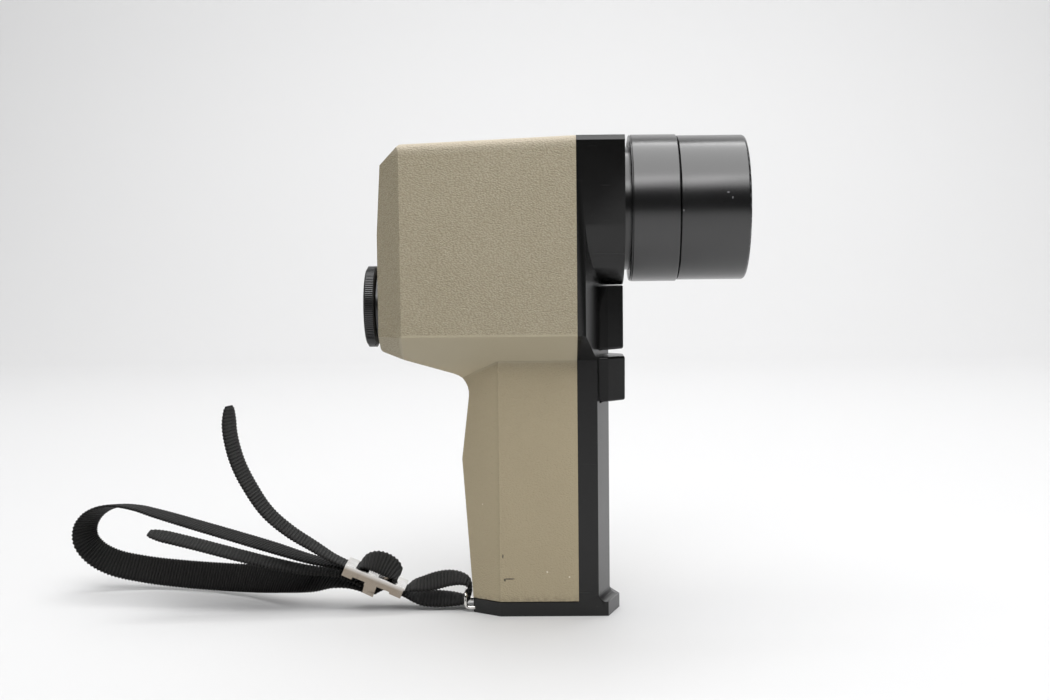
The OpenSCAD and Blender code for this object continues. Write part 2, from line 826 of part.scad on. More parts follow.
module mirror() {
  color([0.85, 0.87, 0.9]) translate([mirror_x, 0, lens_z]) rotate([0, -45, 0])
    cube([mirror_len, mirror_w, 1.6], center = true);
}

module focusing_screen() {
  color(glass) box([box_rear + 2, box_front - 3], [-mirror_w / 2, mirror_w / 2], [screen_z, screen_z + screen_t]);
}

module scale_plate() {
  color([0.9, 0.9, 0.85])
    box([mirror_x + 3, mirror_x + 8], [-prism_size / 2, prism_size / 2], [screen_z + screen_t, needle_z - 0.6]);
}

module prism() {
  s = prism_size / 2;
  color(glass) along_y([[mirror_x - s, eye_z - s], [mirror_x + s, eye_z + s], [mirror_x - s, eye_z + s]], -s, s);
}

module prism_cradle() {
  s = prism_size / 2;
  y = s;
  gap = 0;
  back = [[mirror_x - s, eye_z - s - gap], [mirror_x - s, eye_z - s - gap - 2],
    [mirror_x + s + 2, eye_z + s - gap], [mirror_x + s, eye_z + s - gap]];
  color(dark_grey) {
    along_y(back, -y, y);
    for (side = [-1, 1])
      along_y([[mirror_x - s, eye_z - s - gap - 2], [mirror_x + s + 2, eye_z + s - gap],
        [mirror_x + s + 2, ledge_z], [mirror_x - s, ledge_z]],
        side > 0 ? y : -y - sheet, side > 0 ? y + sheet : -y);
  }
}

eye_r = eye_neck_d / 2;
eye_bore = eye_r - 1.5;
eye_in = rear_x + cover_wall + eye_flange_gap;
eye_tube_end = eye_in + 6;
eye_sleeve_in = eye_bore - run_fit - 1.4;
eye_ring_x1 = rear_x - eye_ring_gap;
eye_ring_x0 = eye_ring_x1 - eye_ring_t;
ocular_travel = 2;

module eyepiece_tube() {
  color(gloss_black) turned(eye_z, [
    [eye_bore, eye_ring_x1 + slide_gap], [eye_r, eye_ring_x1 + slide_gap], [eye_r, eye_in],
    [eye_r + 2, eye_in], [eye_r + 2, eye_in + 1.5], [eye_r, eye_in + 1.5],
    [eye_r, eye_tube_end], [eye_bore, eye_tube_end]
  ]);
}

module eyepiece_ring() {
  r = eye_ring_d / 2;
  view_r = eye_sleeve_in - 1.4;
  edge = 0.8;
  color(satin_black) turned(eye_z, [
    [view_r, eye_ring_x0 + 1.2], [view_r + 3, eye_ring_x0], [r - edge, eye_ring_x0], [r, eye_ring_x0 + edge],
    [r, eye_ring_x1 - 0.3], [r - 0.3, eye_ring_x1], [eye_bore - run_fit, eye_ring_x1],
    [eye_bore - run_fit, eye_tube_end + slide_gap], [eye_sleeve_in, eye_tube_end + slide_gap],
    [eye_sleeve_in, eye_ring_x1], [view_r, eye_ring_x1]
  ]);
}

module eyepiece_clip() {
  color(steel) ring_x(eye_z, eye_sleeve_in, eye_bore + 0.9, eye_tube_end + slide_gap, eye_tube_end + slide_gap + 0.8);
}

ocular_r = eye_sleeve_in - run_fit;
ocular_x0 = eye_ring_x1 + ocular_travel;
ocular_len = 6;

module ocular_cell() {
  color(satin_black) turned(eye_z, [
    [ocular_r - 1.6, ocular_x0], [ocular_r, ocular_x0], [ocular_r, ocular_x0 + ocular_len],
    [ocular_r - 0.8, ocular_x0 + ocular_len], [ocular_r - 0.8, ocular_x0 + 1.4], [ocular_r - 1.6, ocular_x0 + 1.4]
  ]);
}

module ocular_lens() {
  color(glass) turned(eye_z, lens_outline(ocular_r - 0.8 - seat_fit, ocular_x0 + 1.4, 1.8, 0, 1.2));
}

// Light cell behind the mirror

module cell_bracket() {
  color(dark_grey) difference() {
    box([box_rear - sheet, box_rear], [-1, 1] * (box_half + sheet), [lens_z - 11, lens_z + 14]);
    rod_x([box_rear - 5, 0, lens_z], 6, box_rear + 5);
  }
}

holder_r = 8;
holder_x1 = box_rear - sheet;
holder_x0 = holder_x1 - 9;

module photocell_holder() {
  color(satin_black) turned(lens_z, [
    [0, holder_x0], [holder_r, holder_x0], [holder_r, holder_x1], [6, holder_x1],
    [6, holder_x0 + 1.5], [0, holder_x0 + 1.5]
  ]);
}

module photocell() {
  color([0.8, 0.5, 0.25]) rod_x([holder_x0 + 1.5, 0, lens_z], 5.9, holder_x0 + 4.5);
}

module condenser_lens() {
  color(glass) turned(lens_z, lens_outline(6, holder_x1 - 2.4, 1, 0.6, 1));
}

// Meter movement

module meter_shelf() {
  rear = meter_x - meter_r - 0.5;
  color(dark_grey) difference() {
    union() {
      box([rear, box_rear], [-12, 12], [ledge_z, screen_z]);
      for (side = [-1, 1]) rod_z(meter_x, side * (meter_r - 2), 1.5, screen_z, meter_z);
    }
    rod_z(meter_x, 0, 0.6 + run_fit, ledge_z - 1, screen_z + 1);
  }
}

module meter_housing() {
  color(brass) difference() {
    rod_z(meter_x, 0, meter_r, meter_z, meter_z + meter_h);
    rod_z(meter_x, 0, 0.6 + run_fit, meter_z - 1, meter_z + meter_h + 1);
  }
}

needle_swing = 28;
needle_reach = mirror_x + 5 - meter_x;

module needle() {
  color([0.8, 0.15, 0.1]) translate([meter_x, 0, 0]) rotate([0, 0, -needle_swing / 2]) {
    rod_z(0, 0, 0.6, ledge_z, meter_z + meter_h);
    box([-4.5, needle_reach], [-0.3, 0.3], [needle_z, needle_z + needle_t]);
    box([-5, -2.5], [-1.2, 1.2], [needle_z, needle_z + needle_t]);
  }
}

// Circuit board on the left of the mirror box

board_x0 = box_rear - 6;
board_x1 = box_front - 6;
board_z0 = ledge_z + 0.5;
board_z1 = box_post_z - 5;
board_screw_places = [[box_rear + 4, lens_z - 13], [box_front - 10, lens_z + 8]];
trimmer_places = [[board_x0 + 6, board_z1 - 6], [board_x0 + 6, board_z1 - 15], [board_x1 - 6, board_z0 + 6]];

module circuit_board() {
  color([0.15, 0.35, 0.2]) difference() {
    box([board_x0, board_x1], [board_y, board_y + board_t], [board_z0, board_z1]);
    for (p = board_screw_places) rod_y(p[0], p[1], 0.8, board_y - 1, board_y + 3);
  }
}

module trimmers() {
  y = board_y + board_t;
  color([0.2, 0.35, 0.6]) for (p = trimmer_places) difference() {
    rod_y(p[0], p[1], 3, y, y + 2.2);
    box([p[0] - 2, p[0] + 2], [y + 1.6, y + 3], [p[1] - 0.3, p[1] + 0.3]);
  }
}

module resistors() {
  y = board_y + board_t + 0.9;
  color([0.75, 0.65, 0.5]) for (i = [0 : 4])
    rod_x([board_x1 - 17, y, board_z0 + 2.5 + i * 2.6], 0.9, board_x1 - 12);
}

// Triggers, their springs and switches

bracket_half = 10;

module trigger_bracket() {
  color(steel) difference() {
    union() {
      box([bracket_x, bracket_face], [-1, 1] * (post_y + 3), [bracket_post_z - 4, bracket_post_z + 4]);
      box([bracket_x, bracket_face], [-1, 1] * bracket_half, [grip_post_z - 3.4, bracket_post_z + 4]);
      for (z = [lower_trigger_mid, upper_trigger_mid]) rod_x([bracket_face, spring_y, z], spring_peg_r, bracket_face + 2);
    }
    for (side = [-1, 1]) rod_x([bracket_x - 1, side * post_y, bracket_post_z], screw_r, bracket_face + 1);
    rod_x([bracket_x - 1, 0, grip_post_z], screw_r, bracket_face + 1);
  }
}

trigger_side_x = prow_x - 0.5;
trigger_front_x = boss_x;
trigger_rear_x = bracket_face + 6.4;
trigger_tab = 1;
trigger_tab_t = 2.2;
spring_y = -5;
spring_r = 3;
spring_wire = 0.5;
spring_pocket = 3;
spring_peg_r = spring_r - 2 * spring_wire - 0.15;
lower_trigger_mid = lower_trigger_z + lower_trigger_h / 2;
upper_trigger_mid = upper_trigger_z + (upper_trigger_top - upper_trigger_z) / 2;

// Room behind both front facets, narrower at the foot by the taper
module facet_room(z0, z1, taper, front) {
  turn = atan2(trigger_bevel, front - trigger_side_x);
  y = -trigger_side_x * sin(turn) - trigger_w / 2 * cos(turn);
  points = [[y + taper * cos(turn), z0], [head_w, z0], [head_w, z1], [y, z1]];
  intersection() {
    rotate([0, 0, turn]) along_x(points, -head_len, head_len);
    rotate([0, 0, -turn]) along_x(mirrored(points), -head_len, head_len);
  }
}

module trigger_body(z0, z1, taper, front) {
  half = trigger_w / 2;
  mid = (z0 + z1) / 2;
  tab_half = grip_half - frame_wall - slide_gap;
  difference() {
    union() {
      intersection() {
        along_x([[taper - half, z0], [half - taper, z0], [half, z1], [-half, z1]], trigger_rear_x, front);
        facet_room(z0, z1, taper, front);
        along_z(prow_plan(0, half, front), z0, z1);
      }
      box([trigger_rear_x, trigger_rear_x + trigger_tab_t], [-tab_half, tab_half], [z0 - trigger_tab, z1 + trigger_tab]);
    }
    rod_x([trigger_rear_x - 1, spring_y, mid], spring_r + slide_gap, trigger_rear_x + spring_pocket);
    trigger_relief(z0, z1);
  }
}

// Room for the frame's walls behind the trigger's shoulders
module trigger_relief(z0, z1) {
  half = grip_half - frame_wall - slide_gap;
  for (side = [-1, 1])
    box([0, trigger_rear_x + trigger_tab_t], side > 0 ? [half, head_half] : [-head_half, -half], [z0 - 2, z1 + 2]);
}

module upper_trigger() {
  color(satin_black) trigger_body(upper_trigger_z, upper_trigger_top, 0, trigger_front_x);
}

module lower_trigger() {
  color(satin_black) trigger_body(lower_trigger_z, lower_trigger_z + lower_trigger_h, trigger_taper, trigger_front_x + lower_trigger_lead);
}

// Closed tube through rings of points, ring by ring
module tube(rings) {
  n = len(rings[0]);
  m = len(rings);
  points = [for (ring = rings) for (p = ring) p];
  sides = [
    for (i = [0 : m - 2]) for (j = [0 : n - 1]) let (k = (j + 1) % n)
      each [[i * n + j, i * n + k, (i + 1) * n + j], [i * n + k, (i + 1) * n + k, (i + 1) * n + j]]
  ];
  caps = [
    for (j = [1 : n - 2])
      each [[0, j + 1, j], [(m - 1) * n, (m - 1) * n + j, (m - 1) * n + j + 1]]
  ];
  polyhedron(points, concat(sides, caps));
}

// Compression spring along X from x0 to x1
module coil_spring(y, z, x0, x1) {
  turns = 6;
  steps = 12;
  r = spring_r - spring_wire;
  rise = (x1 - x0 - 2 * spring_wire) / (turns * steps);
  rings = [
    for (i = [0 : turns * steps])
      let (a = 360 * i / steps, x = x0 + spring_wire + rise * i)
        [for (j = [0 : 5]) let (b = -60 * j, q = r + spring_wire * cos(b))
          [x + spring_wire * sin(b), y + q * cos(a), z + q * sin(a)]]
  ];
  tube(rings);
}

module upper_spring() {
  color(steel) coil_spring(spring_y, upper_trigger_mid, bracket_face, trigger_rear_x + spring_pocket - 0.02);
}

module lower_spring() {
  color(steel) coil_spring(spring_y, lower_trigger_mid, bracket_face, trigger_rear_x + spring_pocket - 0.02);
}

module switch_body(z) {
  top = trigger_rear_x - trigger_travel - 1;
  color(dark_grey) {
    box([bracket_face, top], [1.5, 8.5], [z - 3, z + 3]);
    rod_x([top - eps, 5, z], 1.1, top + 0.6);
  }
}

module upper_switch() {
  switch_body(upper_trigger_mid);
}

module lower_switch() {
  switch_body(lower_trigger_mid);
}

// Battery, its tray and hatch

module battery() {
  z1 = battery_z + battery_h;
  mid = (battery_x0 + battery_x1) / 2;
  color([0.2, 0.22, 0.25]) {
    box([battery_x0, battery_x1], [-battery_w / 2, battery_w / 2], [battery_z, z1]);
    rod_z(mid - 6.4, 0, 2.8, z1 - eps, z1 + 1.9);
    rod_z(mid + 6.4, 0, 3.6, z1 - eps, z1 + 1.9);
  }
}

module battery_snap() {
  z = battery_z + battery_h + 1.9;
  color(gloss_black)
    box([battery_x0 + 1, battery_x1 - 1], [1 - battery_w / 2, battery_w / 2 - 1], [z, z + 2.6]);
}

module battery_tray() {
  t = tray_wall;
  half = battery_w / 2;
  color(dark_grey) difference() {
    box([battery_x0 + 6, battery_x1 + t], [-half - t, half + t], [base_t, battery_z + battery_h * 0.6]);
    box([battery_x0, battery_x1], [-half, half], [base_t - 1, battery_z + battery_h]);
  }
}

module battery_cover() {
  color(gloss_black) difference() {
    union() {
      box([hatch_x0, hatch_x1], [-hatch_half, hatch_half], [0, hatch_t]);
      box([battery_x0 + 0.4, battery_x1 - 0.4], [-1, 1] * (battery_w / 2 - 0.4), [hatch_t - eps, base_t - 0.2]);
    }
    rod_z(coin_x, 0, screw_r + 0.3 + run_fit, -1, hatch_t + 1);
    rod_z(coin_x, 0, coin_r + slide_gap, -1, 1.3);
  }
}

module coin_screw() {
  color(steel) difference() {
    union() {
      rod_z(coin_x, 0, coin_r, 0.2, 1.3);
      rod_z(coin_x, 0, screw_r + 0.3, 1.3 - eps, base_t + 1.6);
    }
    box([coin_x - coin_r, coin_x + coin_r], [-0.4, 0.4], [0, 0.8]);
  }
}

module tripod_bush() {
  color(brass) difference() {
    rod_z(bush_x, 0, bush_r, 0, base_t + 1);
    rod_z(bush_x, 0, socket_r, -1, base_t);
  }
}

// Bent wire that carries the strap

module strap_lug() {
  r = lug_wire_d / 2;
  x = foot_x - lug_reach;
  color(steel) union() {
    for (side = [-1, 1]) {
      rod_x([x, side * lug_half, lug_z0], r, foot_x + 5);
      rod_z(x, side * lug_half, r, lug_z0, lug_z1);
      translate([x, side * lug_half, lug_z0]) sphere(r);
      translate([x, side * lug_half, lug_z1]) sphere(r);
    }
    rod_y(x, lug_z1, r, -lug_half, lug_half);
  }
}

// Calculator dial on the left side

dial_y0 = head_half;
dial_y1 = dial_y0 + 1.2;
dial_y2 = dial_y1 + slide_gap;
dial_y3 = dial_y2 + dial_step;
dial_y4 = dial_y3 + slide_gap;
dial_y5 = dial_y4 + dial_step;

module dial_plate() {
  color(satin_black) difference() {
    union() {
      rod_y(dial_x, dial_z, dial_d / 2 - 0.6, dial_y0, dial_y1);
      rod_y(dial_x, dial_z, dial_axle_r, dial_y0, dial_y5 + slide_gap);
    }
    rod_y(dial_x, dial_z, screw_r, dial_y0 - 1, dial_y5 + 2);
  }
}

module exposure_dial() {
  color(gloss_black) difference() {
    rod_y(dial_x, dial_z, dial_d / 2, dial_y2, dial_y3);
    rod_y(dial_x, dial_z, dial_axle_r + run_fit, dial_y2 - 1, dial_y3 + 1);
  }
}

grip_teeth = 24;

module film_dial() {
  color([0.75, 0.74, 0.7]) difference() {
    rod_y(dial_x, dial_z, film_dial_d / 2, dial_y4, dial_y5);
    rod_y(dial_x, dial_z, dial_axle_r + run_fit, dial_y4 - 1, dial_y5 + 1);
    for (i = [0 : grip_teeth - 1])
      translate([dial_x, 0, dial_z]) rotate([0, 360 * i / grip_teeth, 0])
        rod_y(film_dial_d / 2 + 0.5, 0, 1, dial_y4 - 1, dial_y5 + 1);
  }
}

module dial_screw() {
  y = dial_y5 + slide_gap;
  color(steel) difference() {
    union() {
      rod_y(dial_x, dial_z, screw_r, inner_half - 1.2, y);
      rod_y(dial_x, dial_z, dial_axle_r + 2.4, y, y + 1.4);
    }
    box([dial_x - over, dial_x + over], [y + 0.7, y + 3], [dial_z - 0.5, dial_z + 0.5]);
  }
}

// Wrist strap: a buckle frame, and the strap's route as chosen points

buckle_at = [-68, 13.1];
buckle_tilt = 22.8;
buckle_half = 12;
buckle_bar = 4;
buckle_sheet = 0.8;
buckle_rail = 3;

// Route point given along and above the buckle, with depth and roll
function on_buckle(u, n, y, roll) = [
  buckle_at[0] + u * cos(buckle_tilt) + n * sin(buckle_tilt), y,
  buckle_at[1] - u * sin(buckle_tilt) + n * cos(buckle_tilt), roll
];

// From the lug through the buckle to the upright free end: X, Y, Z and roll
tail_route = [
  [-32.9, 0, 7, 0], [-33, 0, 8.3, 0], [-33.9, 0, 9.9, -4], [-36.2, 0, 11, -10],
  [-40.5, 0, 11.3, -18], [-45.5, 0, 10.4, -22], [-50, 0, 9.3, -18], [-54, 0, 8.6, -9],
  on_buckle(12.2, -1.2, 0, 0), on_buckle(9, -1.2, 0, 0), on_buckle(7.2, -0.6, 0, 0),
  on_buckle(6.9, 0.7, 0, 0), on_buckle(7.3, 1.9, 0, -6), on_buckle(6.8, 2.9, 0, -16),
  on_buckle(4.9, 3.9, 0, -27), on_buckle(1.5, 4.5, 0, -33), on_buckle(-2.2, 4.2, 0, -30),
  on_buckle(-5.2, 2.9, 0, -18), on_buckle(-6.7, 1.3, 0, -5), on_buckle(-7.1, -0.3, 0, 0),
  on_buckle(-8.4, -1.2, 0, 0), on_buckle(-10.4, -1.2, 0, 0), on_buckle(-12.7, -1, 0, 0),
  [-84.5, 0, 19.2, -2], [-91.8, 0, 23.8, -6], [-101, 0, 29.8, -9], [-109, 0, 37, -11],
  [-115, 0, 46, -13], [-119.8, 0, 56, -14], [-122.4, 0, 67, -14], [-122.6, 0, 77.4, -14]
];

// From the lug under the buckle, round the wrist loop, back over the keeper to the low free end
loop_route = [
  [-32.9, 0, 7, 0], [-33, 0, 5.6, 0], [-33.8, 0, 3.9, -2], [-35.8, 0, 3.2, -6], [-40, 0, 3.3, -14],
  [-46, 0, 3.5, -19], [-50.5, 0, 3.7, -15], [-53.8, 0, 4.4, -7], on_buckle(13, -2.75, 0, 0),
  on_buckle(10, -2.7, 0, 0), on_buckle(6.2, -2.75, 0, 0), on_buckle(4.6, -3.2, 0, 0),
  on_buckle(3.3, -4.4, 0, 0), on_buckle(2.2, -5.8, 0, 0), on_buckle(0.4, -6.8, 0, 0),
  on_buckle(-3, -7, 0, 0), on_buckle(-7, -7.2, 0, -3), on_buckle(-13, -8.6, 0.8, -14),
  [-92, 4, 9.6, -34], [-104, 11, 8.5, -47], [-119, 21, 6.8, -58], [-135, 29, 5.9, -64],
  [-151, 33.5, 6.2, -64], [-165, 35.5, 7.5, -60], [-178, 35, 10.6, -55], [-184.9, 34, 14.8, -50],
  [-188.2, 32.5, 20, -45], [-188, 31, 25.5, -38], [-185, 29.5, 30.3, -28], [-180, 28, 33.6, -18],
  [-173.5, 27, 35, -9], [-165.5, 25.5, 34.4, -2], [-157.5, 23.5, 32.6, 3], [-141.5, 18.5, 29, 6],
  [-125, 13.5, 25.3, 7], [-109.5, 8.5, 21.8, 7], [-94.5, 4, 18.2, 3], on_buckle(-12, -2.6, 1, 0),
  on_buckle(-6, -2.6, 0, 0), on_buckle(-1.5, -2.6, 0, 0), on_buckle(-0.2, -3.1, 0, 0),
  on_buckle(0.2, -3.9, 0, 0), on_buckle(-0.2, -4.7, 0, 0), on_buckle(-1.5, -5.2, 0, 0),
  on_buckle(-6, -5.2, 0, 0), on_buckle(-12, -5.1, 0, 0), [-95.5, -1, 15.2, -4], [-108, -2, 18, -7],
  [-121.5, -3, 21.7, -8], [-137, -3.5, 26, -8], [-153.3, -4, 30.2, -8]
];

function place(row) = [row[0], row[1], row[2]];
function heading(route, i) =
  unit(place(route[min(i + 1, len(route) - 1)]) - place(route[max(i - 1, 0)]));

// Ring of a flat band with softened edges at one point of a route
function band_ring(route, i) =
  let (
    p = place(route[i]),
    d = heading(route, i),
    side = unit([0, 1, 0] - d * d[1]),
    up = cross(d, side),
    roll = route[i][3],
    w = side * cos(roll) + up * sin(roll),
    t = cross(d, w),
    a = strap_w / 2,
    b = strap_t / 2,
    c = strap_t / 4
  )
  [for (q = [[a, c], [a - c, b], [c - a, b], [-a, c], [-a, -c], [c - a, -b], [a - c, -b], [a, -c]]) p + w * q[0] + t * q[1]];

module band(route) {
  tube([for (i = [0 : len(route) - 1]) band_ring(route, i)]);
}

module strap_tail() {
  color(webbing) band(tail_route);
}

module strap_loop() {
  color(webbing) band(loop_route);
}

module buckle_box(u, y, n) {
  translate([buckle_at[0], 0, buckle_at[1]]) rotate([0, buckle_tilt, 0]) box(u, y, n);
}

// Cheek of the buckle: two short end feet and a longer foot in the middle
function buckle_cheek(top) = [
  [-buckle_half, top], [-buckle_half, -buckle_rail - 0.9], [-8, -buckle_rail - 1], [-7.9, -buckle_rail],
  [-2.9, -buckle_rail], [-2.4, -buckle_rail - 4], [1.9, -buckle_rail - 4.2], [1.8, -buckle_rail],
  [6.8, -buckle_rail], [7.1, -buckle_rail - 0.7], [buckle_half - 0.4, -buckle_rail - 0.8], [buckle_half - 0.4, top]
];

module strap_buckle() {
  rail = strap_w / 2 + 0.35;
  half = buckle_sheet / 2;
  color(steel) union() {
    for (side = [-1, 1]) {
      y = side > 0 ? [rail, rail + buckle_sheet] : [-rail - buckle_sheet, -rail];
      translate([buckle_at[0], 0, buckle_at[1]]) rotate([0, buckle_tilt, 0]) along_y(buckle_cheek(half), y[0], y[1]);
    }
    for (u = [-buckle_half, -3, buckle_half - buckle_bar])
      buckle_box([u, u + buckle_bar], [-1, 1] * (rail + buckle_sheet), [-half, half]);
    buckle_box([-3, -1], [-1, 1] * (rail + eps), [-4.3, -3.5]);
  }
}

right_cover();
left_cover();
cover_screws();
front_frame();
chassis_screws();
lens_mount();
lens_mount_screws();
barrel_base();
focus_ring();
ring_retainer();
lens_cell();
front_lens();
cell_ring();
focus_key();
rear_lens();
rear_lens_ring();
mirror_box();
mirror();
focusing_screen();
scale_plate();
prism();
prism_cradle();
eyepiece_tube();
eyepiece_ring();
eyepiece_clip();
ocular_cell();
ocular_lens();
cell_bracket();
photocell_holder();
photocell();
condenser_lens();
meter_shelf();
meter_housing();
needle();
circuit_board();
trimmers();
resistors();
trigger_bracket();
upper_trigger();
lower_trigger();
upper_spring();
lower_spring();
upper_switch();
lower_switch();
battery();
battery_snap();
battery_tray();
battery_cover();
coin_screw();
tripod_bush();
strap_lug();
dial_plate();
exposure_dial();
film_dial();
dial_screw();
strap_tail();
strap_loop();
strap_buckle();
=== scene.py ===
import bpy
import bmesh
import math
from mathutils import Matrix, Vector


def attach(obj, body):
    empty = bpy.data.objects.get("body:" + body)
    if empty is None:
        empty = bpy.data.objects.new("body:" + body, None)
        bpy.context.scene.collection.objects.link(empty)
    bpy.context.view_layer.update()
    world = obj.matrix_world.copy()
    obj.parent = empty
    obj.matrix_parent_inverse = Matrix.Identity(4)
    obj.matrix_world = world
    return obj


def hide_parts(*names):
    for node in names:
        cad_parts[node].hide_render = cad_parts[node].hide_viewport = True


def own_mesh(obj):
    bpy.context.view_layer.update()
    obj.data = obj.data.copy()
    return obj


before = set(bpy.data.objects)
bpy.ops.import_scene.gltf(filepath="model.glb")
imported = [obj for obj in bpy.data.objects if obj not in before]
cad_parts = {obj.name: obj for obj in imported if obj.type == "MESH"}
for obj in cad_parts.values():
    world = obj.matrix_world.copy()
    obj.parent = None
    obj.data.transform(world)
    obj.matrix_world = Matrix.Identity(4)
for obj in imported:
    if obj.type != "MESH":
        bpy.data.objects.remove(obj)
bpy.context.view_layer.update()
mm = 0.001
print("frame loaded:", len(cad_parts), "nodes")


# shader values as plain expressions
class Value:
    def __init__(self, finish, socket):
        self.finish, self.socket = finish, socket

    def math(self, operation, first, second=0.0):
        return self.finish.node("Math", {"operation": operation}, {0: first, 1: second})

    def __add__(self, other):
        return self.math("ADD", self, other)

    def __radd__(self, other):
        return self.math("ADD", other, self)

    def __sub__(self, other):
        return self.math("SUBTRACT", self, other)

    def __rsub__(self, other):
        return self.math("SUBTRACT", other, self)

    def __mul__(self, other):
        return self.math("MULTIPLY", self, other)

    def __rmul__(self, other):
        return self.math("MULTIPLY", other, self)

    def __truediv__(self, other):
        return self.math("DIVIDE", self, other)

    def __rtruediv__(self, other):
        return self.math("DIVIDE", other, self)

    def __pow__(self, other):
        return self.math("POWER", self, other)

    def __rpow__(self, other):
        return self.math("POWER", other, self)

    def __abs__(self):
        return self.math("ABSOLUTE", self)

    def wave(self):
        return self.math("SINE", self)

    def least(self, other):
        return self.math("MINIMUM", self, other)

    def ramp(self, low, high, start=0.0, end=1.0):  # clamped straight ramp
        return self.finish.node("MapRange", {"clamp": True}, {0: self, 1: low, 2: high, 3: start, 4: end})


# one material, with the node maker that all finishes use
class Finish:
    def __init__(self, name, **constants):
        self.mat = bpy.data.materials.new(name)
        self.mat.use_nodes = True
        self.tree = self.mat.node_tree
        self.tree.nodes.clear()
        self.shader = self.tree.nodes.new("ShaderNodeBsdfPrincipled")
        outNode = self.tree.nodes.new("ShaderNodeOutputMaterial")
        self.tree.links.new(self.shader.outputs[0], outNode.inputs[0])
        self.surface(**constants)

    def put(self, node, inputs):
        for key, value in inputs.items():
            if isinstance(value, Value):
                self.tree.links.new(value.socket, node.inputs[key])
            else:
                node.inputs[key].default_value = value

    def node(self, kind, settings=None, inputs=None, out=0):
        made = self.tree.nodes.new("ShaderNode" + kind)
        for key, value in (settings or {}).items():
            setattr(made, key, value)
        self.put(made, inputs or {})
        return Value(self, made.outputs[out])

    def place(self):
        return self.node("TexCoord", None, None, "Object")

    def parts(self, vector):
        made = self.tree.nodes.new("ShaderNodeSeparateXYZ")
        self.put(made, {0: vector})
        return [Value(self, socket) for socket in made.outputs]

    def stretch(self, vector, scale, turn=(0, 0, 0)):
        return self.node("Mapping", None, {"Vector": vector, "Scale": scale, "Rotation": turn})

    def noise(self, vector, scale, detail=3.0, rough=0.5):
        inputs = {"Vector": vector, "Scale": scale, "Detail": detail, "Roughness": rough}
        return self.node("TexNoise", None, inputs)

    def cells(self, vector, scale):
        return self.node("TexVoronoi", None, {"Vector": vector, "Scale": scale})

    def blend(self, factor, first, second):
        colours = [(*c, 1) if isinstance(c, tuple) else c for c in (first, second)]
        return self.node("Mix", {"data_type": "RGBA"}, {0: factor, 6: colours[0], 7: colours[1]}, 2)

    def relief(self, height, depth, strength=1.0):
        return self.node("Bump", None, {"Height": height, "Distance": depth, "Strength": strength})

    # small ragged marks on the photographed side, each with its middle and its size in mm
    def marks(self, place, rows, ragged):
        x, y, z = place
        total = 0.0
        for (midX, midZ), (wide, high) in rows:
            reach = ragged + ((x - midX * mm) / (wide * mm)) ** 2 + ((z - midZ * mm) / (high * mm)) ** 2
            total = total + reach.ramp(1.1, 0.8)
        return total.least(1.0) * y.ramp(0.0, -0.001)

    def surface(self, **inputs):
        self.put(self.shader, {key.replace("_", " "): value for key, value in inputs.items()})
        return self.mat


# geometry nodes trees, built the same way
class Tree:
    def __init__(self, name):
        self.group = bpy.data.node_groups.new(name, "GeometryNodeTree")
        self.group.interface.new_socket("Geometry", in_out="INPUT", socket_type="NodeSocketGeometry")
        self.group.interface.new_socket("Geometry", in_out="OUTPUT", socket_type="NodeSocketGeometry")
        self.inNode = self.group.nodes.new("NodeGroupInput")
        self.outNode = self.group.nodes.new("NodeGroupOutput")
        self.values = {}

    def input(self, name, value, kind="NodeSocketFloat"):
        socket = self.group.interface.new_socket(name, in_out="INPUT", socket_type=kind)
        self.values[socket.identifier] = value
        return next(s for s in self.inNode.outputs if s.identifier == socket.identifier)

    def node(self, kind, settings=None, inputs=None):
        made = self.group.nodes.new(kind)
        for key, value in (settings or {}).items():
            setattr(made, key, value)
        for key, value in (inputs or {}).items():
            if isinstance(value, bpy.types.NodeSocket):
                self.group.links.new(value, made.inputs[key])
            else:
                made.inputs[key].default_value = value
        return made

    def close(self, geometry, material):
        real = self.node("GeometryNodeRealizeInstances", None, {0: geometry})
        painted = self.node("GeometryNodeSetMaterial", None, {0: real.outputs[0], "Material": material})
        self.group.links.new(painted.outputs[0], self.outNode.inputs[0])

    def bake(self, piece):
        modifier = piece.modifiers.new(self.group.name, "NODES")
        modifier.node_group = self.group
        for identifier, value in self.values.items():
            modifier[identifier] = value
        graph = bpy.context.evaluated_depsgraph_get()
        mesh = bpy.data.meshes.new_from_object(piece.evaluated_get(graph))
        piece.modifiers.clear()
        piece.data = mesh
        return piece


def newPiece(name, mesh, finish=None):
    piece = bpy.data.objects.new(name, mesh)
    bpy.context.scene.collection.objects.link(piece)
    if finish:
        mesh.materials.append(finish)
    return piece


def settle(piece, body, slot, *nodes):
    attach(piece, body)
    if nodes:
        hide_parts(*nodes)
    return piece


def closedMesh(name, work):  # plain mesh from a bmesh, with its faces outwards
    bmesh.ops.recalc_face_normals(work, faces=work.faces)
    mesh = bpy.data.meshes.new(name)
    work.to_mesh(mesh)
    work.free()
    return mesh


def smoothShade(mesh, angle):
    mesh.polygons.foreach_set("use_smooth", [True] * len(mesh.polygons))
    mesh.set_sharp_from_angle(angle=math.radians(angle))
    mesh.update()


dressing = {"merge": 3e-6, "flat": 0.4}  # metres between doubles, degrees between faces that are one


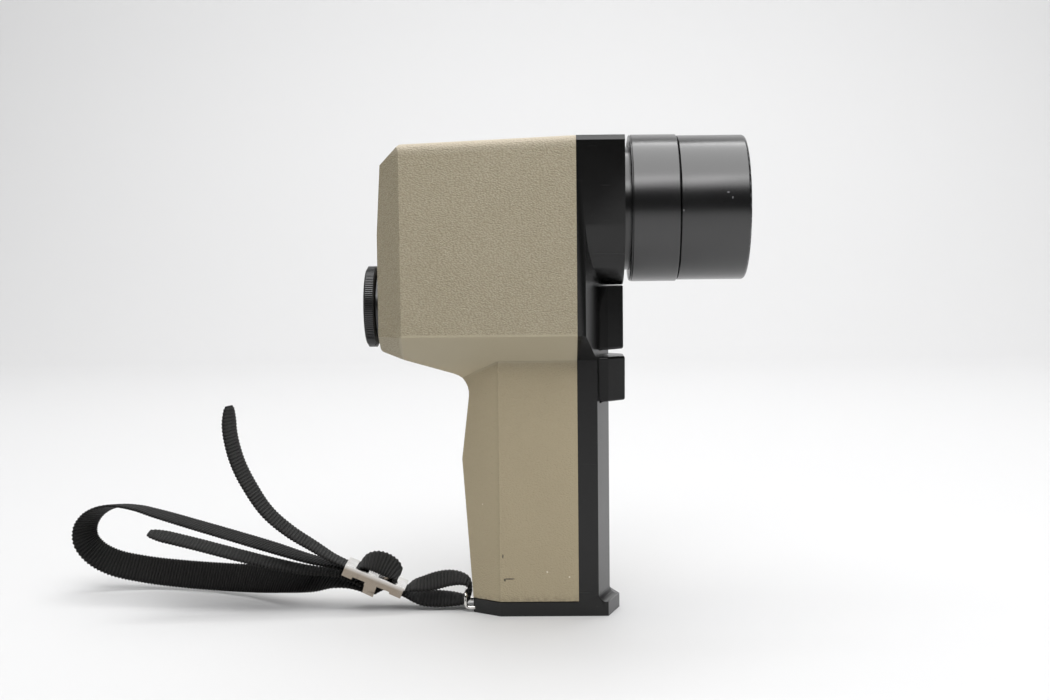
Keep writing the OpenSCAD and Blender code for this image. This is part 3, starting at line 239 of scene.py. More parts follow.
# merged copy of a node, with its edges rounded
def dressed(node, name, finish, body, slot, edge=0.3, segments=3, limit=24, shade=32, pick=None):
    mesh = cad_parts[node].data.copy()
    work = bmesh.new()
    work.from_mesh(mesh)
    bmesh.ops.remove_doubles(work, verts=work.verts, dist=dressing["merge"])
    flat = math.radians(dressing["flat"])
    bmesh.ops.dissolve_limit(work, angle_limit=flat, verts=work.verts, edges=work.edges)
    if pick:  # gives each edge its share of the round, so that small cuts do not hold the round back
        weight = work.edges.layers.float.new("bevel_weight_edge")
        for line in work.edges:
            bend = line.calc_face_angle(0.0)
            line[weight] = float(bend > math.radians(limit) and pick(line.verts[0].co, line.verts[1].co))
    work.to_mesh(mesh)
    work.free()
    mesh.materials.clear()
    smoothShade(mesh, shade)
    piece = newPiece(name, mesh, finish)
    if edge:
        bevel = piece.modifiers.new("edges", "BEVEL")
        bevel.width, bevel.segments = edge * mm, segments
        bevel.limit_method, bevel.angle_limit = "WEIGHT" if pick else "ANGLE", math.radians(limit)
        bevel.harden_normals = True
        bevel.miter_outer = "MITER_ARC"
    return settle(piece, body, slot, node)


# closed outline of X and radius in mm, turned about the X axis at height z
def turnedMesh(name, outline, z, steps=192, shade=30):
    work = bmesh.new()
    rings = []
    for i in range(steps):
        a = 2 * math.pi * i / steps
        points = [(x * mm, r * math.cos(a) * mm, z * mm + r * math.sin(a) * mm) for x, r in outline]
        rings.append([work.verts.new(point) for point in points])
    count = len(outline)
    for i in range(steps):
        here, there = rings[i], rings[(i + 1) % steps]
        for j in range(count):
            k = (j + 1) % count
            work.faces.new((here[j], here[k], there[k], there[j]))
    mesh = closedMesh(name, work)
    smoothShade(mesh, shade)
    return mesh


# closed outline with a round at every corner, which takes up no more than this share of a side
def roundedOutline(points, radius, steps=4, share=0.45):
    made = []
    count = len(points)
    for i in range(count):
        before, here, after = (Vector(points[(i + k) % count]) for k in (-1, 0, 1))
        a, b = before - here, after - here
        reach = min(radius, a.length * share, b.length * share)
        start, end = here + a.normalized() * reach, here + b.normalized() * reach
        for k in range(steps + 1):
            t = k / steps
            made.append(tuple(start * (1 - t) ** 2 + here * 2 * t * (1 - t) + end * t * t))
    return made


# camera, as the photograph was taken: millimetres and degrees
shot = {"place": (-2, -555, 138), "focal": 51.2, "sensor": 36, "panLeft": 0.96, "pitchDown": 4.2, "roll": -0.6,
        "clip": (0.05, 20)}


def makeCamera():
    data = bpy.data.cameras.new("shotCamera")
    data.lens, data.sensor_width = shot["focal"], shot["sensor"]
    data.clip_start, data.clip_end = shot["clip"]
    camera = bpy.data.objects.new("shotCamera", data)
    bpy.context.scene.collection.objects.link(camera)
    turn = Matrix.Rotation(math.radians(shot["panLeft"]), 4, "Z")
    tilt = Matrix.Rotation(math.radians(90 - shot["pitchDown"]), 4, "X")
    roll = Matrix.Rotation(math.radians(shot["roll"]), 4, "Z")
    camera.matrix_world = Matrix.Translation(Vector(shot["place"]) * mm) @ turn @ tilt @ roll
    bpy.context.scene.camera = camera


makeCamera()
print("camera set")

# floor that curves up into the backdrop, in metres, and soft light
studio = {"wide": 3.2, "flat": (-1.6, -0.4, 0.3, 1.1), "bend": 0.5, "steps": 16, "high": 2.4,
          "paper": (0.68, 0.68, 0.683), "rough": 0.62, "air": 0.04}
lamps = [  # name, place, aimed at, size, watts
    ("topLight", (0.12, -0.22, 1.3), (0.0, -0.02, 0.1), (1.6, 1.75), 28.5),
    ("frontLight", (0.2, -1.25, 1.2), (0.0, 0.0, 0.12), (1.7, 0.5), 7),
    ("backLight", (0.1, 0.8, 1.6), (0.05, 1.6, 0.80), (2.4, 0.6), 20),
]


def makeStudio():
    rows = [(y, 0.0) for y in studio["flat"]]
    far, bend = studio["flat"][-1], studio["bend"]
    for i in range(1, studio["steps"] + 1):
        a = math.pi / 2 * i / studio["steps"]
        rows.append((far + bend * math.sin(a), bend * (1 - math.cos(a))))
    rows.append((far + bend, studio["high"]))
    work = bmesh.new()
    lines = [[work.verts.new((x, y, z)) for x in (-studio["wide"], studio["wide"])] for y, z in rows]
    for here, there in zip(lines, lines[1:]):
        work.faces.new((here[0], here[1], there[1], there[0]))
    mesh = bpy.data.meshes.new("studioFloor")
    work.to_mesh(mesh)
    work.free()
    mesh.polygons.foreach_set("use_smooth", [True] * len(mesh.polygons))
    paper = Finish("studioPaper", Roughness=studio["rough"])
    grain = paper.noise(paper.place(), 900.0, 2.0)
    paper.surface(Base_Color=(*studio["paper"], 1), Normal=paper.relief(grain, 0.0001, 0.1))
    newPiece("studioFloor", mesh, paper.mat)


def makeLight():
    for name, place, aim, size, watts in lamps:
        data = bpy.data.lights.new(name, "AREA")
        data.shape, data.size, data.size_y = "RECTANGLE", size[0], size[1]
        data.energy = watts
        lamp = bpy.data.objects.new(name, data)
        lamp.location = place
        lamp.rotation_euler = (Vector(aim) - Vector(place)).to_track_quat("-Z", "Y").to_euler()
        bpy.context.scene.collection.objects.link(lamp)
    world = bpy.data.worlds.new("studioAir")
    world.use_nodes = True
    air = world.node_tree.nodes["Background"]
    air.inputs["Color"].default_value = (1, 1, 1, 1)
    air.inputs["Strength"].default_value = studio["air"]
    bpy.context.scene.world = world
    bpy.context.scene.view_settings.view_transform = "Standard"


makeStudio()
makeLight()
print("studio set")

# pebbled skin of the two covers: tones, grain per metre, where they change in metres, marks in mm
skin = {
    "dark": (0.375, 0.327, 0.225), "light": (0.405, 0.356, 0.252), "hollow": (0.240, 0.201, 0.130),
    "crestHighlight": (0.60, 0.545, 0.425), "roof": (0.60, 0.52, 0.415), "grip": (0.428, 0.356, 0.228),
    "band": (0.415, 0.364, 0.258), "palm": (0.50, 0.425, 0.285), "bare": (0.045, 0.040, 0.034),
    "fleck": (0.80, 0.75, 0.62), "dirt": (0.10, 0.085, 0.06),
    "headGrain": (1200, 1800, 2300), "gripGrain": (1400, 2000, 2600), "depth": 0.0003,
    "bandSlope": 0.727, "bandHeight": 0.0839, "roofSlope": 0.04, "roofEdge": (0.1700, 0.1742),
    "headFrom": (0.0935, 0.0945), "gripFade": (0.098, 0.090), "palmZ": (0.094, 0.088),
    "palmX": (-0.0205, -0.0225),
    "scuffs": [((-20, 22.3), (0.35, 1.1)), ((-17.6, 14), (2.4, 0.34)), ((-19.4, 13.6), (0.5, 0.7))],
    "flecks": [((-3.7, 16.5), (0.45, 0.5)), ((4.4, 14.6), (0.4, 0.4)), ((-27.4, 41), (0.3, 0.4))],
}


def coverSkin():
    f = Finish("coverSkin", IOR=1.46)
    p = f.place()
    x, y, z = f.parts(p)
    offBand = abs(abs(y) * skin["bandSlope"] + skin["bandHeight"] - z)
    grained = offBand.ramp(0.0004, 0.0009, 0.15)  # the sloping band between head and grip is nearly smooth
    head = z.ramp(*skin["headFrom"])
    coarse = f.cells(f.stretch(p, skin["headGrain"]), 1.0)
    fine = f.cells(f.stretch(p, skin["gripGrain"]), 1.0)
    pebble = coarse * head + fine * (1 - head) * 0.55 + 0.18 * (1 - head)
    height = (f.noise(p, 1500.0, 2.0) * 0.25 - pebble) * grained
    mottle = f.noise(p, 55.0, 4.0, 0.6)
    # painted highlights in patches on the raised pebbles
    crestHighlight = pebble.ramp(0.3, 0.12) * f.noise(p, 900.0, 2.0).ramp(0.42, 0.6) * grained
    tone = f.blend(mottle.ramp(0.3, 0.7), skin["dark"], skin["light"])
    # painted shade in the hollows of the grain
    tone = f.blend(pebble.ramp(0.32, 0.7) * grained * 0.42, tone, skin["hollow"])
    tone = f.blend(crestHighlight * 0.32, tone, skin["crestHighlight"])
    roof = (z - x * skin["roofSlope"]).ramp(*skin["roofEdge"])  # painted highlight along the roof's top edge
    tone = f.blend(roof * 0.6, tone, skin["roof"])
    tone = f.blend(z.ramp(*skin["gripFade"]) * 0.7, tone, skin["grip"])
    tone = f.blend(grained.ramp(0.9, 0.2) * 0.8, tone, skin["band"])
    tone = f.blend(z.ramp(*skin["palmZ"]) * x.ramp(*skin["palmX"]) * 0.55, tone, skin["palm"])
    ragged = f.noise(p, 1400.0, 3.0, 0.7) * 1.6 - 0.4
    bare = f.marks((x, y, z), skin["scuffs"], ragged)
    tone = f.blend(bare * 0.85, tone, skin["bare"])
    tone = f.blend(f.marks((x, y, z), skin["flecks"], ragged) * 0.8, tone, skin["fleck"])
    speck = f.cells(p, 150.0).ramp(0.045, 0.02) * f.noise(p, 60.0).ramp(0.54, 0.6) * z.ramp(0.08, 0.03)
    rub = f.noise(p, 700.0, 2.0).ramp(0.35, 0.7) * z.ramp(0.0085, 0.0055)
    tone = f.blend((speck * 0.6 + rub * 0.45).least(1.0), tone, skin["dirt"])
    rough = 0.46 + mottle * 0.16 + bare * 0.1
    return f.surface(Base_Color=tone, Roughness=rough, Normal=f.relief(height, skin["depth"], 0.9))


# gloss black of the frame, with dust and a few hairlines
gloss = {"dark": (0.0030, 0.0030, 0.0030), "light": (0.0062, 0.0062, 0.0060), "dust": (0.22, 0.21, 0.20),
         "rough": 0.17}


def frameGloss():
    f = Finish("frameGloss", Specular_IOR_Level=0.42)
    p = f.place()
    peel = f.noise(p, 260.0, 2.0)
    haze = f.noise(p, 45.0, 4.0, 0.65)
    dust = f.cells(p, 420.0).ramp(0.055, 0.02) * f.noise(p, 90.0).ramp(0.5, 0.62)
    hair = f.noise(f.stretch(p, (60, 60, 2200), (0.2, 0.5, 0)), 1.0, 3.0).ramp(0.7, 0.74)
    tone = f.blend(haze, gloss["dark"], gloss["light"])
    tone = f.blend((dust * 0.55 + hair * 0.06).least(1.0), tone, gloss["dust"])
    rough = gloss["rough"] + haze * 0.10 + dust * 0.3 + hair * 0.1
    return f.surface(Base_Color=tone, Roughness=rough, Normal=f.relief(peel, 0.00006, 0.25))


# anodised black of the lens, bright where it is worn
anodised = {
    "dark": (0.0020, 0.0020, 0.0022), "light": (0.0040, 0.0040, 0.0043), "worn": (0.46, 0.46, 0.48),
    "rough": 0.20, "rim": (0.0690, 0.0693),
    "nicks": [((62.8, 152.3), (0.3, 0.55)), ((61.3, 154.2), (0.5, 0.3)), ((45.6, 148.0), (0.2, 0.5))],
}


def lensBlack():
    f = Finish("lensBlack", Specular_IOR_Level=0.95)
    p = f.place()
    x, y, z = f.parts(p)
    lines = f.noise(f.stretch(p, (5200, 12, 12)), 1.0, 2.0)  # fine turning marks round the axis
    haze = f.noise(p, 70.0, 4.0, 0.6)
    pits = f.cells(p, 520.0).ramp(0.05, 0.02) * f.noise(p, 130.0).ramp(0.55, 0.62)
    rim = x.ramp(*anodised["rim"]) * f.noise(p, 900.0, 4.0, 0.7).ramp(0.50, 0.66)
    nick = f.marks((x, y, z), anodised["nicks"], f.noise(p, 1700.0, 3.0, 0.7) * 2.0 - 0.6)
    tone = f.blend(haze, anodised["dark"], anodised["light"])
    tone = f.blend((rim * 0.6 + pits * 0.5 + nick * 0.45).least(1.0), tone, anodised["worn"])
    rough = anodised["rough"] + haze * 0.05 + lines * 0.05
    return f.surface(Base_Color=tone, Roughness=rough, Normal=f.relief(lines, 0.00001, 0.12))


def plainFinish(name, dark, light, rough, metal=0.0, grain=300.0, depth=0.00004, shine=0.5):
    f = Finish(name, Metallic=metal, Specular_IOR_Level=shine)
    p = f.place()
    cloud = f.noise(p, 60.0, 4.0, 0.6)
    tooth = f.noise(p, grain, 3.0)
    return f.surface(
        Base_Color=f.blend(cloud.ramp(0.3, 0.7), dark, light),
        Roughness=rough + cloud * 0.12 + tooth * 0.05,
        Normal=f.relief(tooth, depth, 0.4),
    )


def clearGlass(name, tint, rough=0.02):
    f = Finish(name, IOR=1.52, Transmission_Weight=1.0, Coat_Roughness=0.03)
    p = f.place()
    film = f.noise(p, 25.0, 2.0)
    dust = f.cells(p, 700.0).ramp(0.04, 0.015) * f.noise(p, 150.0).ramp(0.5, 0.6)
    tone = f.blend(film.ramp(0.3, 0.7), tint, tuple(c * 0.94 for c in tint))
    return f.surface(Base_Color=tone, Roughness=rough + dust * 0.4, Coat_Weight=0.35 + film * 0.2)


plainLooks = {  # name, dark tone, light tone, roughness, metal, grain per metre, relief in metres, shine
    "trigger": ("triggerPlastic", (0.003, 0.003, 0.003), (0.006, 0.006, 0.006), 0.15, 0.0, 420.0, 0.00004, 0.26),
    "knurl": ("eyepieceBlack", (0.016, 0.016, 0.0165), (0.026, 0.026, 0.026), 0.20, 0.0, 600.0, 0.00004, 0.9),
    "mirror": ("silveredGlass", (0.86, 0.87, 0.88), (0.92, 0.93, 0.94), 0.02, 1.0, 200.0, 0.000002),
    "screw": ("screwSteel", (0.50, 0.49, 0.47), (0.66, 0.65, 0.62), 0.26, 1.0, 1400.0),
    "chassis": ("chassisCoat", (0.030, 0.030, 0.032), (0.048, 0.048, 0.050), 0.55, 0.3, 900.0),
    "brass": ("turnedBrass", (0.52, 0.36, 0.13), (0.68, 0.49, 0.20), 0.25, 1.0, 1200.0),
    "steel": ("platedSteel", (0.45, 0.45, 0.43), (0.60, 0.60, 0.57), 0.30, 1.0, 900.0),
    "scale": ("scaleFilm", (0.74, 0.73, 0.66), (0.82, 0.81, 0.75), 0.5),
    "photocell": ("cellCeramic", (0.50, 0.20, 0.06), (0.64, 0.28, 0.09), 0.5, 0.0, 1500.0),
    "needle": ("needlePaint", (0.48, 0.02, 0.012), (0.62, 0.035, 0.02), 0.4),
    "board": ("boardMask", (0.018, 0.085, 0.030), (0.030, 0.120, 0.045), 0.35, 0.0, 1800.0),
    "trimmer": ("trimmerBody", (0.025, 0.085, 0.26), (0.040, 0.115, 0.33), 0.35),
    "resistor": ("resistorLacquer", (0.46, 0.33, 0.19), (0.58, 0.44, 0.27), 0.4),
    "mould": ("mouldedBlack", (0.010, 0.010, 0.010), (0.020, 0.020, 0.020), 0.45, 0.0, 700.0),
    "battery": ("batteryCan", (0.020, 0.024, 0.030), (0.034, 0.040, 0.050), 0.32, 0.6),
    "dialBlack": ("dialAnodised", (0.010, 0.010, 0.011), (0.018, 0.018, 0.019), 0.36, 0.0, 1200.0),
    "dialSilver": ("dialClear", (0.46, 0.45, 0.43), (0.56, 0.55, 0.52), 0.34, 0.9, 1600.0),
    "ink": ("markWhite", (0.72, 0.72, 0.70), (0.80, 0.80, 0.78), 0.5),
    "inkDark": ("markBlack", (0.012, 0.012, 0.012), (0.02, 0.02, 0.02), 0.5),
    "inkRed": ("markRed", (0.50, 0.03, 0.02), (0.60, 0.05, 0.03), 0.5),
}
finishes = {key: plainFinish(*row) for key, row in plainLooks.items()}
finishes.update(
    cover=coverSkin(), frame=frameGloss(), lens=lensBlack(),
    lensGlass=clearGlass("coatedGlass", (0.86, 0.90, 0.98)),
    screenGlass=clearGlass("groundGlass", (0.92, 0.94, 0.93), 0.35),
)
print("finishes made:", len(finishes))

# wrist strap, in two lengths that both start at the lug, and its buckle: millimetres and degrees
strap = {
    "width": 11.5, "thick": 1.4, "across": 11, "rib": 1.3, "ribDepth": 0.13, "scallop": 0.46, "yarn": 0.62,
    "step": 0.26, "pathStep": 6, "tip": 7.0, "tipNarrow": 0.62, "tipThin": 0.75, "edgeThin": 0.45,
    "dark": (0.0012, 0.0012, 0.0012), "light": (0.017, 0.0165, 0.0155), "lint": (0.070, 0.067, 0.062),
}
buckle = {
    "x": -68, "z": 13.1, "tilt": 22.8, "edge": 0.7, "cutEdge": 0.2, "bendY": 6.8, "bendRise": 0.3,
    "cheekShade": (0.33, 0.28, 0.225), "face": (0.80, 0.785, 0.76), "reflectionPatches": (0.46, 0.42, 0.37),
}
tiltCos, tiltSin = math.cos(math.radians(buckle["tilt"])), math.sin(math.radians(buckle["tilt"]))


def webbingCloth():
    f = Finish("webbingCloth", Specular_IOR_Level=0.25)
    uv = f.node("UVMap", {"uv_map": "weave"})
    across, along = f.parts(uv)[:2]  # in millimetres
    circle = 2 * math.pi
    rib = (along * (circle / strap["rib"]) + math.pi / 2).wave()  # crests where the mesh is thickest
    sway = (across * (math.pi / strap["yarn"])).wave() * 0.25
    weft = ((along + sway) * (circle / (strap["rib"] / 2))).wave()
    warp = (across * (circle / strap["yarn"])).wave()
    fuzz = f.noise(uv, 4.0, 4.0, 0.7)
    height = rib * 0.6 + weft * warp * 0.3 + fuzz * 0.6
    # the weave's crests are painted lighter as a highlight and its hollows darker as shade
    tone = f.blend(height.ramp(-0.3, 1.0), strap["dark"], strap["light"])
    tone = f.blend(f.noise(uv, 1.5, 5.0, 0.85).ramp(0.52, 0.72) * 0.5, tone, strap["lint"])
    return f.surface(Base_Color=tone, Roughness=0.52 + fuzz * 0.2, Normal=f.relief(height, 0.00022, 1.0))


def aboveBuckle(x, z):  # height above the buckle's middle in metres, of a point or a shader value
    return (x - buckle["x"] * mm) * tiltSin + (z - buckle["z"] * mm) * tiltCos


def brightNickel():
    f = Finish("brightNickel", Metallic=1.0)
    p = f.place()
    x, z = f.parts(p)[::2]
    lines = f.noise(f.stretch(p, (300, 4200, 1500), (0, 0.4, 0)), 1.0, 3.0)
    reflectionPatches = f.noise(p, 160.0, 3.0, 0.5)
    wavy = f.noise(p, 170.0, 1.0)  # pressed sheet is never quite flat
    # painted reflection: dark warm shade on the cheeks below the bend, bright on the face above it
    tone = f.blend(aboveBuckle(x, z).ramp(-0.0013, 0.0003), buckle["cheekShade"], buckle["face"])
    # darker warm patches painted in as reflections of dark parts of the room; the same patches also vary the
    # roughness
    tone = f.blend(reflectionPatches.ramp(0.42, 0.68) * 0.3, tone, buckle["reflectionPatches"])
    rough = 0.14 + lines * 0.08 + reflectionPatches.ramp(0.5, 0.85) * 0.08
    return f.surface(Base_Color=tone, Roughness=rough, Normal=f.relief(wavy + lines * 0.01, 0.0009))


finishes.update(webbing=webbingCloth(), nickel=brightNickel())


def onBuckle(u, n, y=0.0, roll=0.0):  # route point along and above the buckle
    return (buckle["x"] + u * tiltCos + n * tiltSin, y, buckle["z"] - u * tiltSin + n * tiltCos, roll)


# the routes of the solids: X, Y, Z and roll
tailRoute = [
    (-32.9, 0, 7, 0), (-33, 0, 8.3, 0), (-33.9, 0, 9.9, -4), (-36.2, 0, 11, -10), (-40.5, 0, 11.3, -18),
    (-45.5, 0, 10.4, -22), (-50, 0, 9.3, -18), (-54, 0, 8.6, -9), onBuckle(12.2, -1.2), onBuckle(9, -1.2),
    onBuckle(7.2, -0.6), onBuckle(6.9, 0.7), onBuckle(7.3, 1.9, 0, -6), onBuckle(6.8, 2.9, 0, -16),
    onBuckle(4.9, 3.9, 0, -27), onBuckle(1.5, 4.5, 0, -33), onBuckle(-2.2, 4.2, 0, -30),
    onBuckle(-5.2, 2.9, 0, -18), onBuckle(-6.7, 1.3, 0, -5), onBuckle(-7.1, -0.3), onBuckle(-8.4, -1.2),
    onBuckle(-10.4, -1.2), onBuckle(-12.7, -1), (-84.5, 0, 19.2, -2), (-91.8, 0, 23.8, -6),
    (-101, 0, 29.8, -9), (-109, 0, 37, -11), (-115, 0, 46, -13), (-119.8, 0, 56, -14), (-122.4, 0, 67, -14),
    (-122.6, 0, 77.4, -14),
]
loopRoute = [
    (-32.9, 0, 7, 0), (-33, 0, 5.6, 0), (-33.8, 0, 3.9, -2), (-35.8, 0, 3.2, -6), (-40, 0, 3.3, -14),
    (-46, 0, 3.5, -19), (-50.5, 0, 3.7, -15), (-53.8, 0, 4.4, -7), onBuckle(13, -2.75), onBuckle(10, -2.7),
    onBuckle(6.2, -2.75), onBuckle(4.6, -3.2), onBuckle(3.3, -4.4), onBuckle(2.2, -5.8), onBuckle(0.4, -6.8),
    onBuckle(-3, -7), onBuckle(-7, -7.2, 0, -3), onBuckle(-13, -8.6, 0.8, -14), (-92, 4, 9.6, -34),
    (-104, 11, 8.5, -47), (-119, 21, 6.8, -58), (-135, 29, 5.9, -64), (-151, 33.5, 6.2, -64),
    (-165, 35.5, 7.5, -60), (-178, 35, 10.6, -55), (-184.9, 34, 14.8, -50), (-188.2, 32.5, 20, -45),
    (-188, 31, 25.5, -38), (-185, 29.5, 30.3, -28), (-180, 28, 33.6, -18), (-173.5, 27, 35, -9),
    (-165.5, 25.5, 34.4, -2), (-157.5, 23.5, 32.6, 3), (-141.5, 18.5, 29, 6), (-125, 13.5, 25.3, 7),
    (-109.5, 8.5, 21.8, 7), (-94.5, 4, 18.2, 3), onBuckle(-12, -2.6, 1), onBuckle(-6, -2.6),
    onBuckle(-1.5, -2.6), onBuckle(-0.2, -3.1), onBuckle(0.2, -3.9), onBuckle(-0.2, -4.7),
    onBuckle(-1.5, -5.2), onBuckle(-6, -5.2), onBuckle(-12, -5.1), (-95.5, -1, 15.2, -4), (-108, -2, 18, -7),
    (-121.5, -3, 21.7, -8), (-137, -3.5, 26, -8), (-153.3, -4, 30.2, -8),
]


def smoothRoute(rows, step, between=40):  # even points on a curve through the rows, with their roll
    points = [Vector(row) for row in rows]
    points = [points[0] * 2 - points[1]] + points + [points[-1] * 2 - points[-2]]
    dense = []
    for a, b, c, d in zip(points, points[1:], points[2:], points[3:]):
        t1 = max((b - a).xyz.length, 1e-6) ** 0.5
        t2 = t1 + max((c - b).xyz.length, 1e-6) ** 0.5
        t3 = t2 + max((d - c).xyz.length, 1e-6) ** 0.5
        for k in range(between):
            t = t1 + (t2 - t1) * k / between
            p1 = a * ((t1 - t) / t1) + b * (t / t1)
            p2 = b * ((t2 - t) / (t2 - t1)) + c * ((t - t1) / (t2 - t1))
            p3 = c * ((t3 - t) / (t3 - t2)) + d * ((t - t2) / (t3 - t2))
            q1 = p1 * ((t2 - t) / t2) + p2 * (t / t2)
            q2 = p2 * ((t3 - t) / (t3 - t1)) + p3 * ((t - t1) / (t3 - t1))
            dense.append(q1 * ((t2 - t) / (t2 - t1)) + q2 * ((t - t1) / (t2 - t1)))
    dense.append(points[-2])
    even, left = [dense[0]], step
    for a, b in zip(dense, dense[1:]):
        span = (b - a).xyz.length
        while span >= left:
            a = a + (b - a) * (left / span)
            even.append(a)
            span, left = (b - a).xyz.length, step
        left -= span
    return even


def tipShare(tip):  # width that is left in the rounded end, where tip runs from 0 at the end to 1
    if tip > 0.12:
        return strap["tipNarrow"] + (1 - strap["tipNarrow"]) * math.sin(tip * math.pi / 2)
    return 0.5 + tip


def makeStrap(name, rows, node):
    line = smoothRoute(rows, strap["step"])
    total = strap["step"] * (len(line) - 1)
    count = strap["across"]
    work = bmesh.new()
    layer = work.loops.layers.uv.new("weave")
    rings, tags = [], {}
    for i, row in enumerate(line):
        along = strap["step"] * i
        heading = (line[min(i + 1, len(line) - 1)].xyz - line[max(i - 1, 0)].xyz).normalized()
        side = (Vector((0, 1, 0)) - heading * heading.y).normalized()
        up = heading.cross(side)
        wide = side * math.cos(math.radians(row.w)) + up * math.sin(math.radians(row.w))
        thick = heading.cross(wide)
        beat = math.cos(2 * math.pi * along / strap["rib"])
        tip = min((total - along) / strap["tip"], 1.0)
        a = (strap["width"] / 2 - strap["scallop"] * (0.5 - 0.5 * beat)) * tipShare(tip)
        b = strap["thick"] / 2 * (1 - strap["ribDepth"] * (1 - beat))
        b *= strap["tipThin"] + (1 - strap["tipThin"]) * tip
        ring = []
        for face in (1, -1):
            for k in range(count):
                s = (2 * k / (count - 1) - 1) * face
                swell = 1 - abs(s) ** 5 * strap["edgeThin"]
                vert = work.verts.new((row.xyz + wide * (s * a) + thick * (face * b * swell)) * mm)
                tags[vert] = (s * strap["width"] / 2 + strap["yarn"] / 2 * face, along)
                ring.append(vert)
        rings.append(ring)
    size = len(rings[0])
    for here, there in zip(rings, rings[1:]):
        for j in range(size):
            k = (j + 1) % size
            work.faces.new((here[j], here[k], there[k], there[j]))
    work.faces.new(list(reversed(rings[0])))
    work.faces.new(rings[-1])
    for face in work.faces:
        face.smooth = True
        for loop in face.loops:
            loop[layer].uv = tags[loop.vert]
    piece = newPiece(name, closedMesh(name, work), finishes["webbing"])
    settle(piece, "body", "webbing", node)
    path = [tuple(row.xyz * mm) for row in line[::strap["pathStep"]]] + [tuple(line[-1].xyz * mm)]
    return piece, path, total * mm


def buckleRound(a, b):  # the bent corners are rounder than the cut edges
    low = min(aboveBuckle(a.x, a.z), aboveBuckle(b.x, b.z))
    bent = min(abs(a.y), abs(b.y)) > buckle["bendY"] * mm and low > buckle["bendRise"] * mm
    return 1.0 if bent else buckle["cutEdge"]


strapTail, tailPath, tailLength = makeStrap("strapTail", tailRoute, "strap_tail")
strapLoop, loopPath, loopLength = makeStrap("strapLoop", loopRoute, "strap_loop")
strapBuckle = dressed("strap_buckle", "strapBuckle", finishes["nickel"], "body", "bright_steel",
                      buckle["edge"], 4, pick=buckleRound)
exitAt = tuple(v * mm for v in tailRoute[0][:3])
print("strap made:", round(tailLength + loopLength, 3), "m")

# bent wire that carries the strap
lugWire = {"radius": 0.7, "sides": 20, "bend": 1.7, "bendSteps": 7,
           "footX": -27, "backX": -34.3, "halfWidth": 6.8, "lowZ": 1.6, "highZ": 6.8}


def makeLug():
    foot, back, half = lugWire["footX"], lugWire["backX"], lugWire["halfWidth"]
    low, high = lugWire["lowZ"], lugWire["highZ"]
    corners = [(foot, half, low), (back, half, low), (back, half, high),
               (back, -half, high), (back, -half, low), (foot, -half, low)]
    atEnd = lugWire["bendSteps"] + 1  # the wire's two ends stay square
    bends = roundedOutline(corners, lugWire["bend"], lugWire["bendSteps"])[atEnd:-atEnd]
    path = [Vector(point) for point in (corners[0], *bends, corners[-1])]
    sides = lugWire["sides"]
    work = bmesh.new()
    rings, side = [], Vector((0, 0, 1))
    for i, point in enumerate(path):
        along = (path[min(i + 1, len(path) - 1)] - path[max(i - 1, 0)]).normalized()
        side = (side - along * side.dot(along)).normalized()
        turns = [Matrix.Rotation(2 * math.pi * k / sides, 3, along) @ side for k in range(sides)]
        rings.append([work.verts.new((point + turn * lugWire["radius"]) * mm) for turn in turns])
    for here, there in zip(rings, rings[1:]):
        for k in range(sides):
            work.faces.new((here[k], here[k - 1], there[k - 1], there[k]))
    work.faces.new(rings[0])
    work.faces.new(rings[-1])
    mesh = closedMesh("strapLug", work)
    smoothShade(mesh, 40)
    settle(newPiece("strapLug", mesh, finishes["nickel"]), "body", "bright_steel", "strap_lug")


makeLug()
print("lug made")

# body: covers, frame, triggers and hatch, with their edges rounded
bodyEdge = {"cover": 0.55, "frame": 0.4, "trigger": 1.2, "hatch": 0.3}
triggerEdge = {"backX": 19, "uprightFrom": 4, "topRowZ": 120.5, "crisp": 0.25}


def triggerRound(a, b):  # soft round ends, crisp upright edges, and none behind
    if max(a.x, b.x) < triggerEdge["backX"] * mm:
        return 0.0
    upright = abs(a.z - b.z) > triggerEdge["uprightFrom"] * mm
    topRow = min(a.z, b.z) > triggerEdge["topRowZ"] * mm
    return triggerEdge["crisp"] if upright or topRow else 1.0


dressed("right_cover", "coverRight", finishes["cover"], "body", "cover", bodyEdge["cover"])
dressed("left_cover", "coverLeft", finishes["cover"], "body", "cover", bodyEdge["cover"])
dressed("front_frame", "frameFront", finishes["frame"], "body", "frame", bodyEdge["frame"])
for node, name in (("upper_trigger", "triggerUpper"), ("lower_trigger", "triggerLower")):
    dressed(node, name, finishes["trigger"], node, "trigger", bodyEdge["trigger"], 5, pick=triggerRound)
dressed("battery_cover", "hatch", finishes["frame"], "battery_cover", "frame", bodyEdge["hatch"])
print("body dressed")

# lens, turned about its axis: X and radius in mm
lens = {
    "z": 149.4, "barrelR": 26.95, "barrelX": (27.3, 44.6), "ringR": 26.5, "ringX": (44.9, 69.7),
    "neckR": 22.7, "neckX": 31.4, "guideR": 23.4, "guideX": 64.8, "cellR": 21.0,
    "thread": 24.5, "turns": 4, "pitch": 0.68, "firstTurn": 0.55, "lead": 0.35, "leadLength": 0.3,
    "ringBore": 23.45, "reliefR": 24.9, "reliefX": (66.0, 66.6), "stepR": 23.9, "stepX": 64.5,
    "grooveR": 24.6, "grooveX": (50.0, 58.0),
    # lips as steps in from the end and down from the radius, and one turn of thread as steps back and out
    "barrelRear": [(0, 0.5), (0.3, 0.14), (0.5, 0.14), (0.55, 0.4), (0.8, 0.4), (0.85, 0.04), (0.95, 0)],
    "barrelFront": [(0.25, 0), (0, 0.25)], "ringRear": [(0, 0.3), (0.3, 0)],
    "ringFront": [(0.9, 0), (0.25, 0.35), (0, 0.75)], "turn": [(0, 0.02), (0.3, 0.32), (0.38, 0.32)],
}


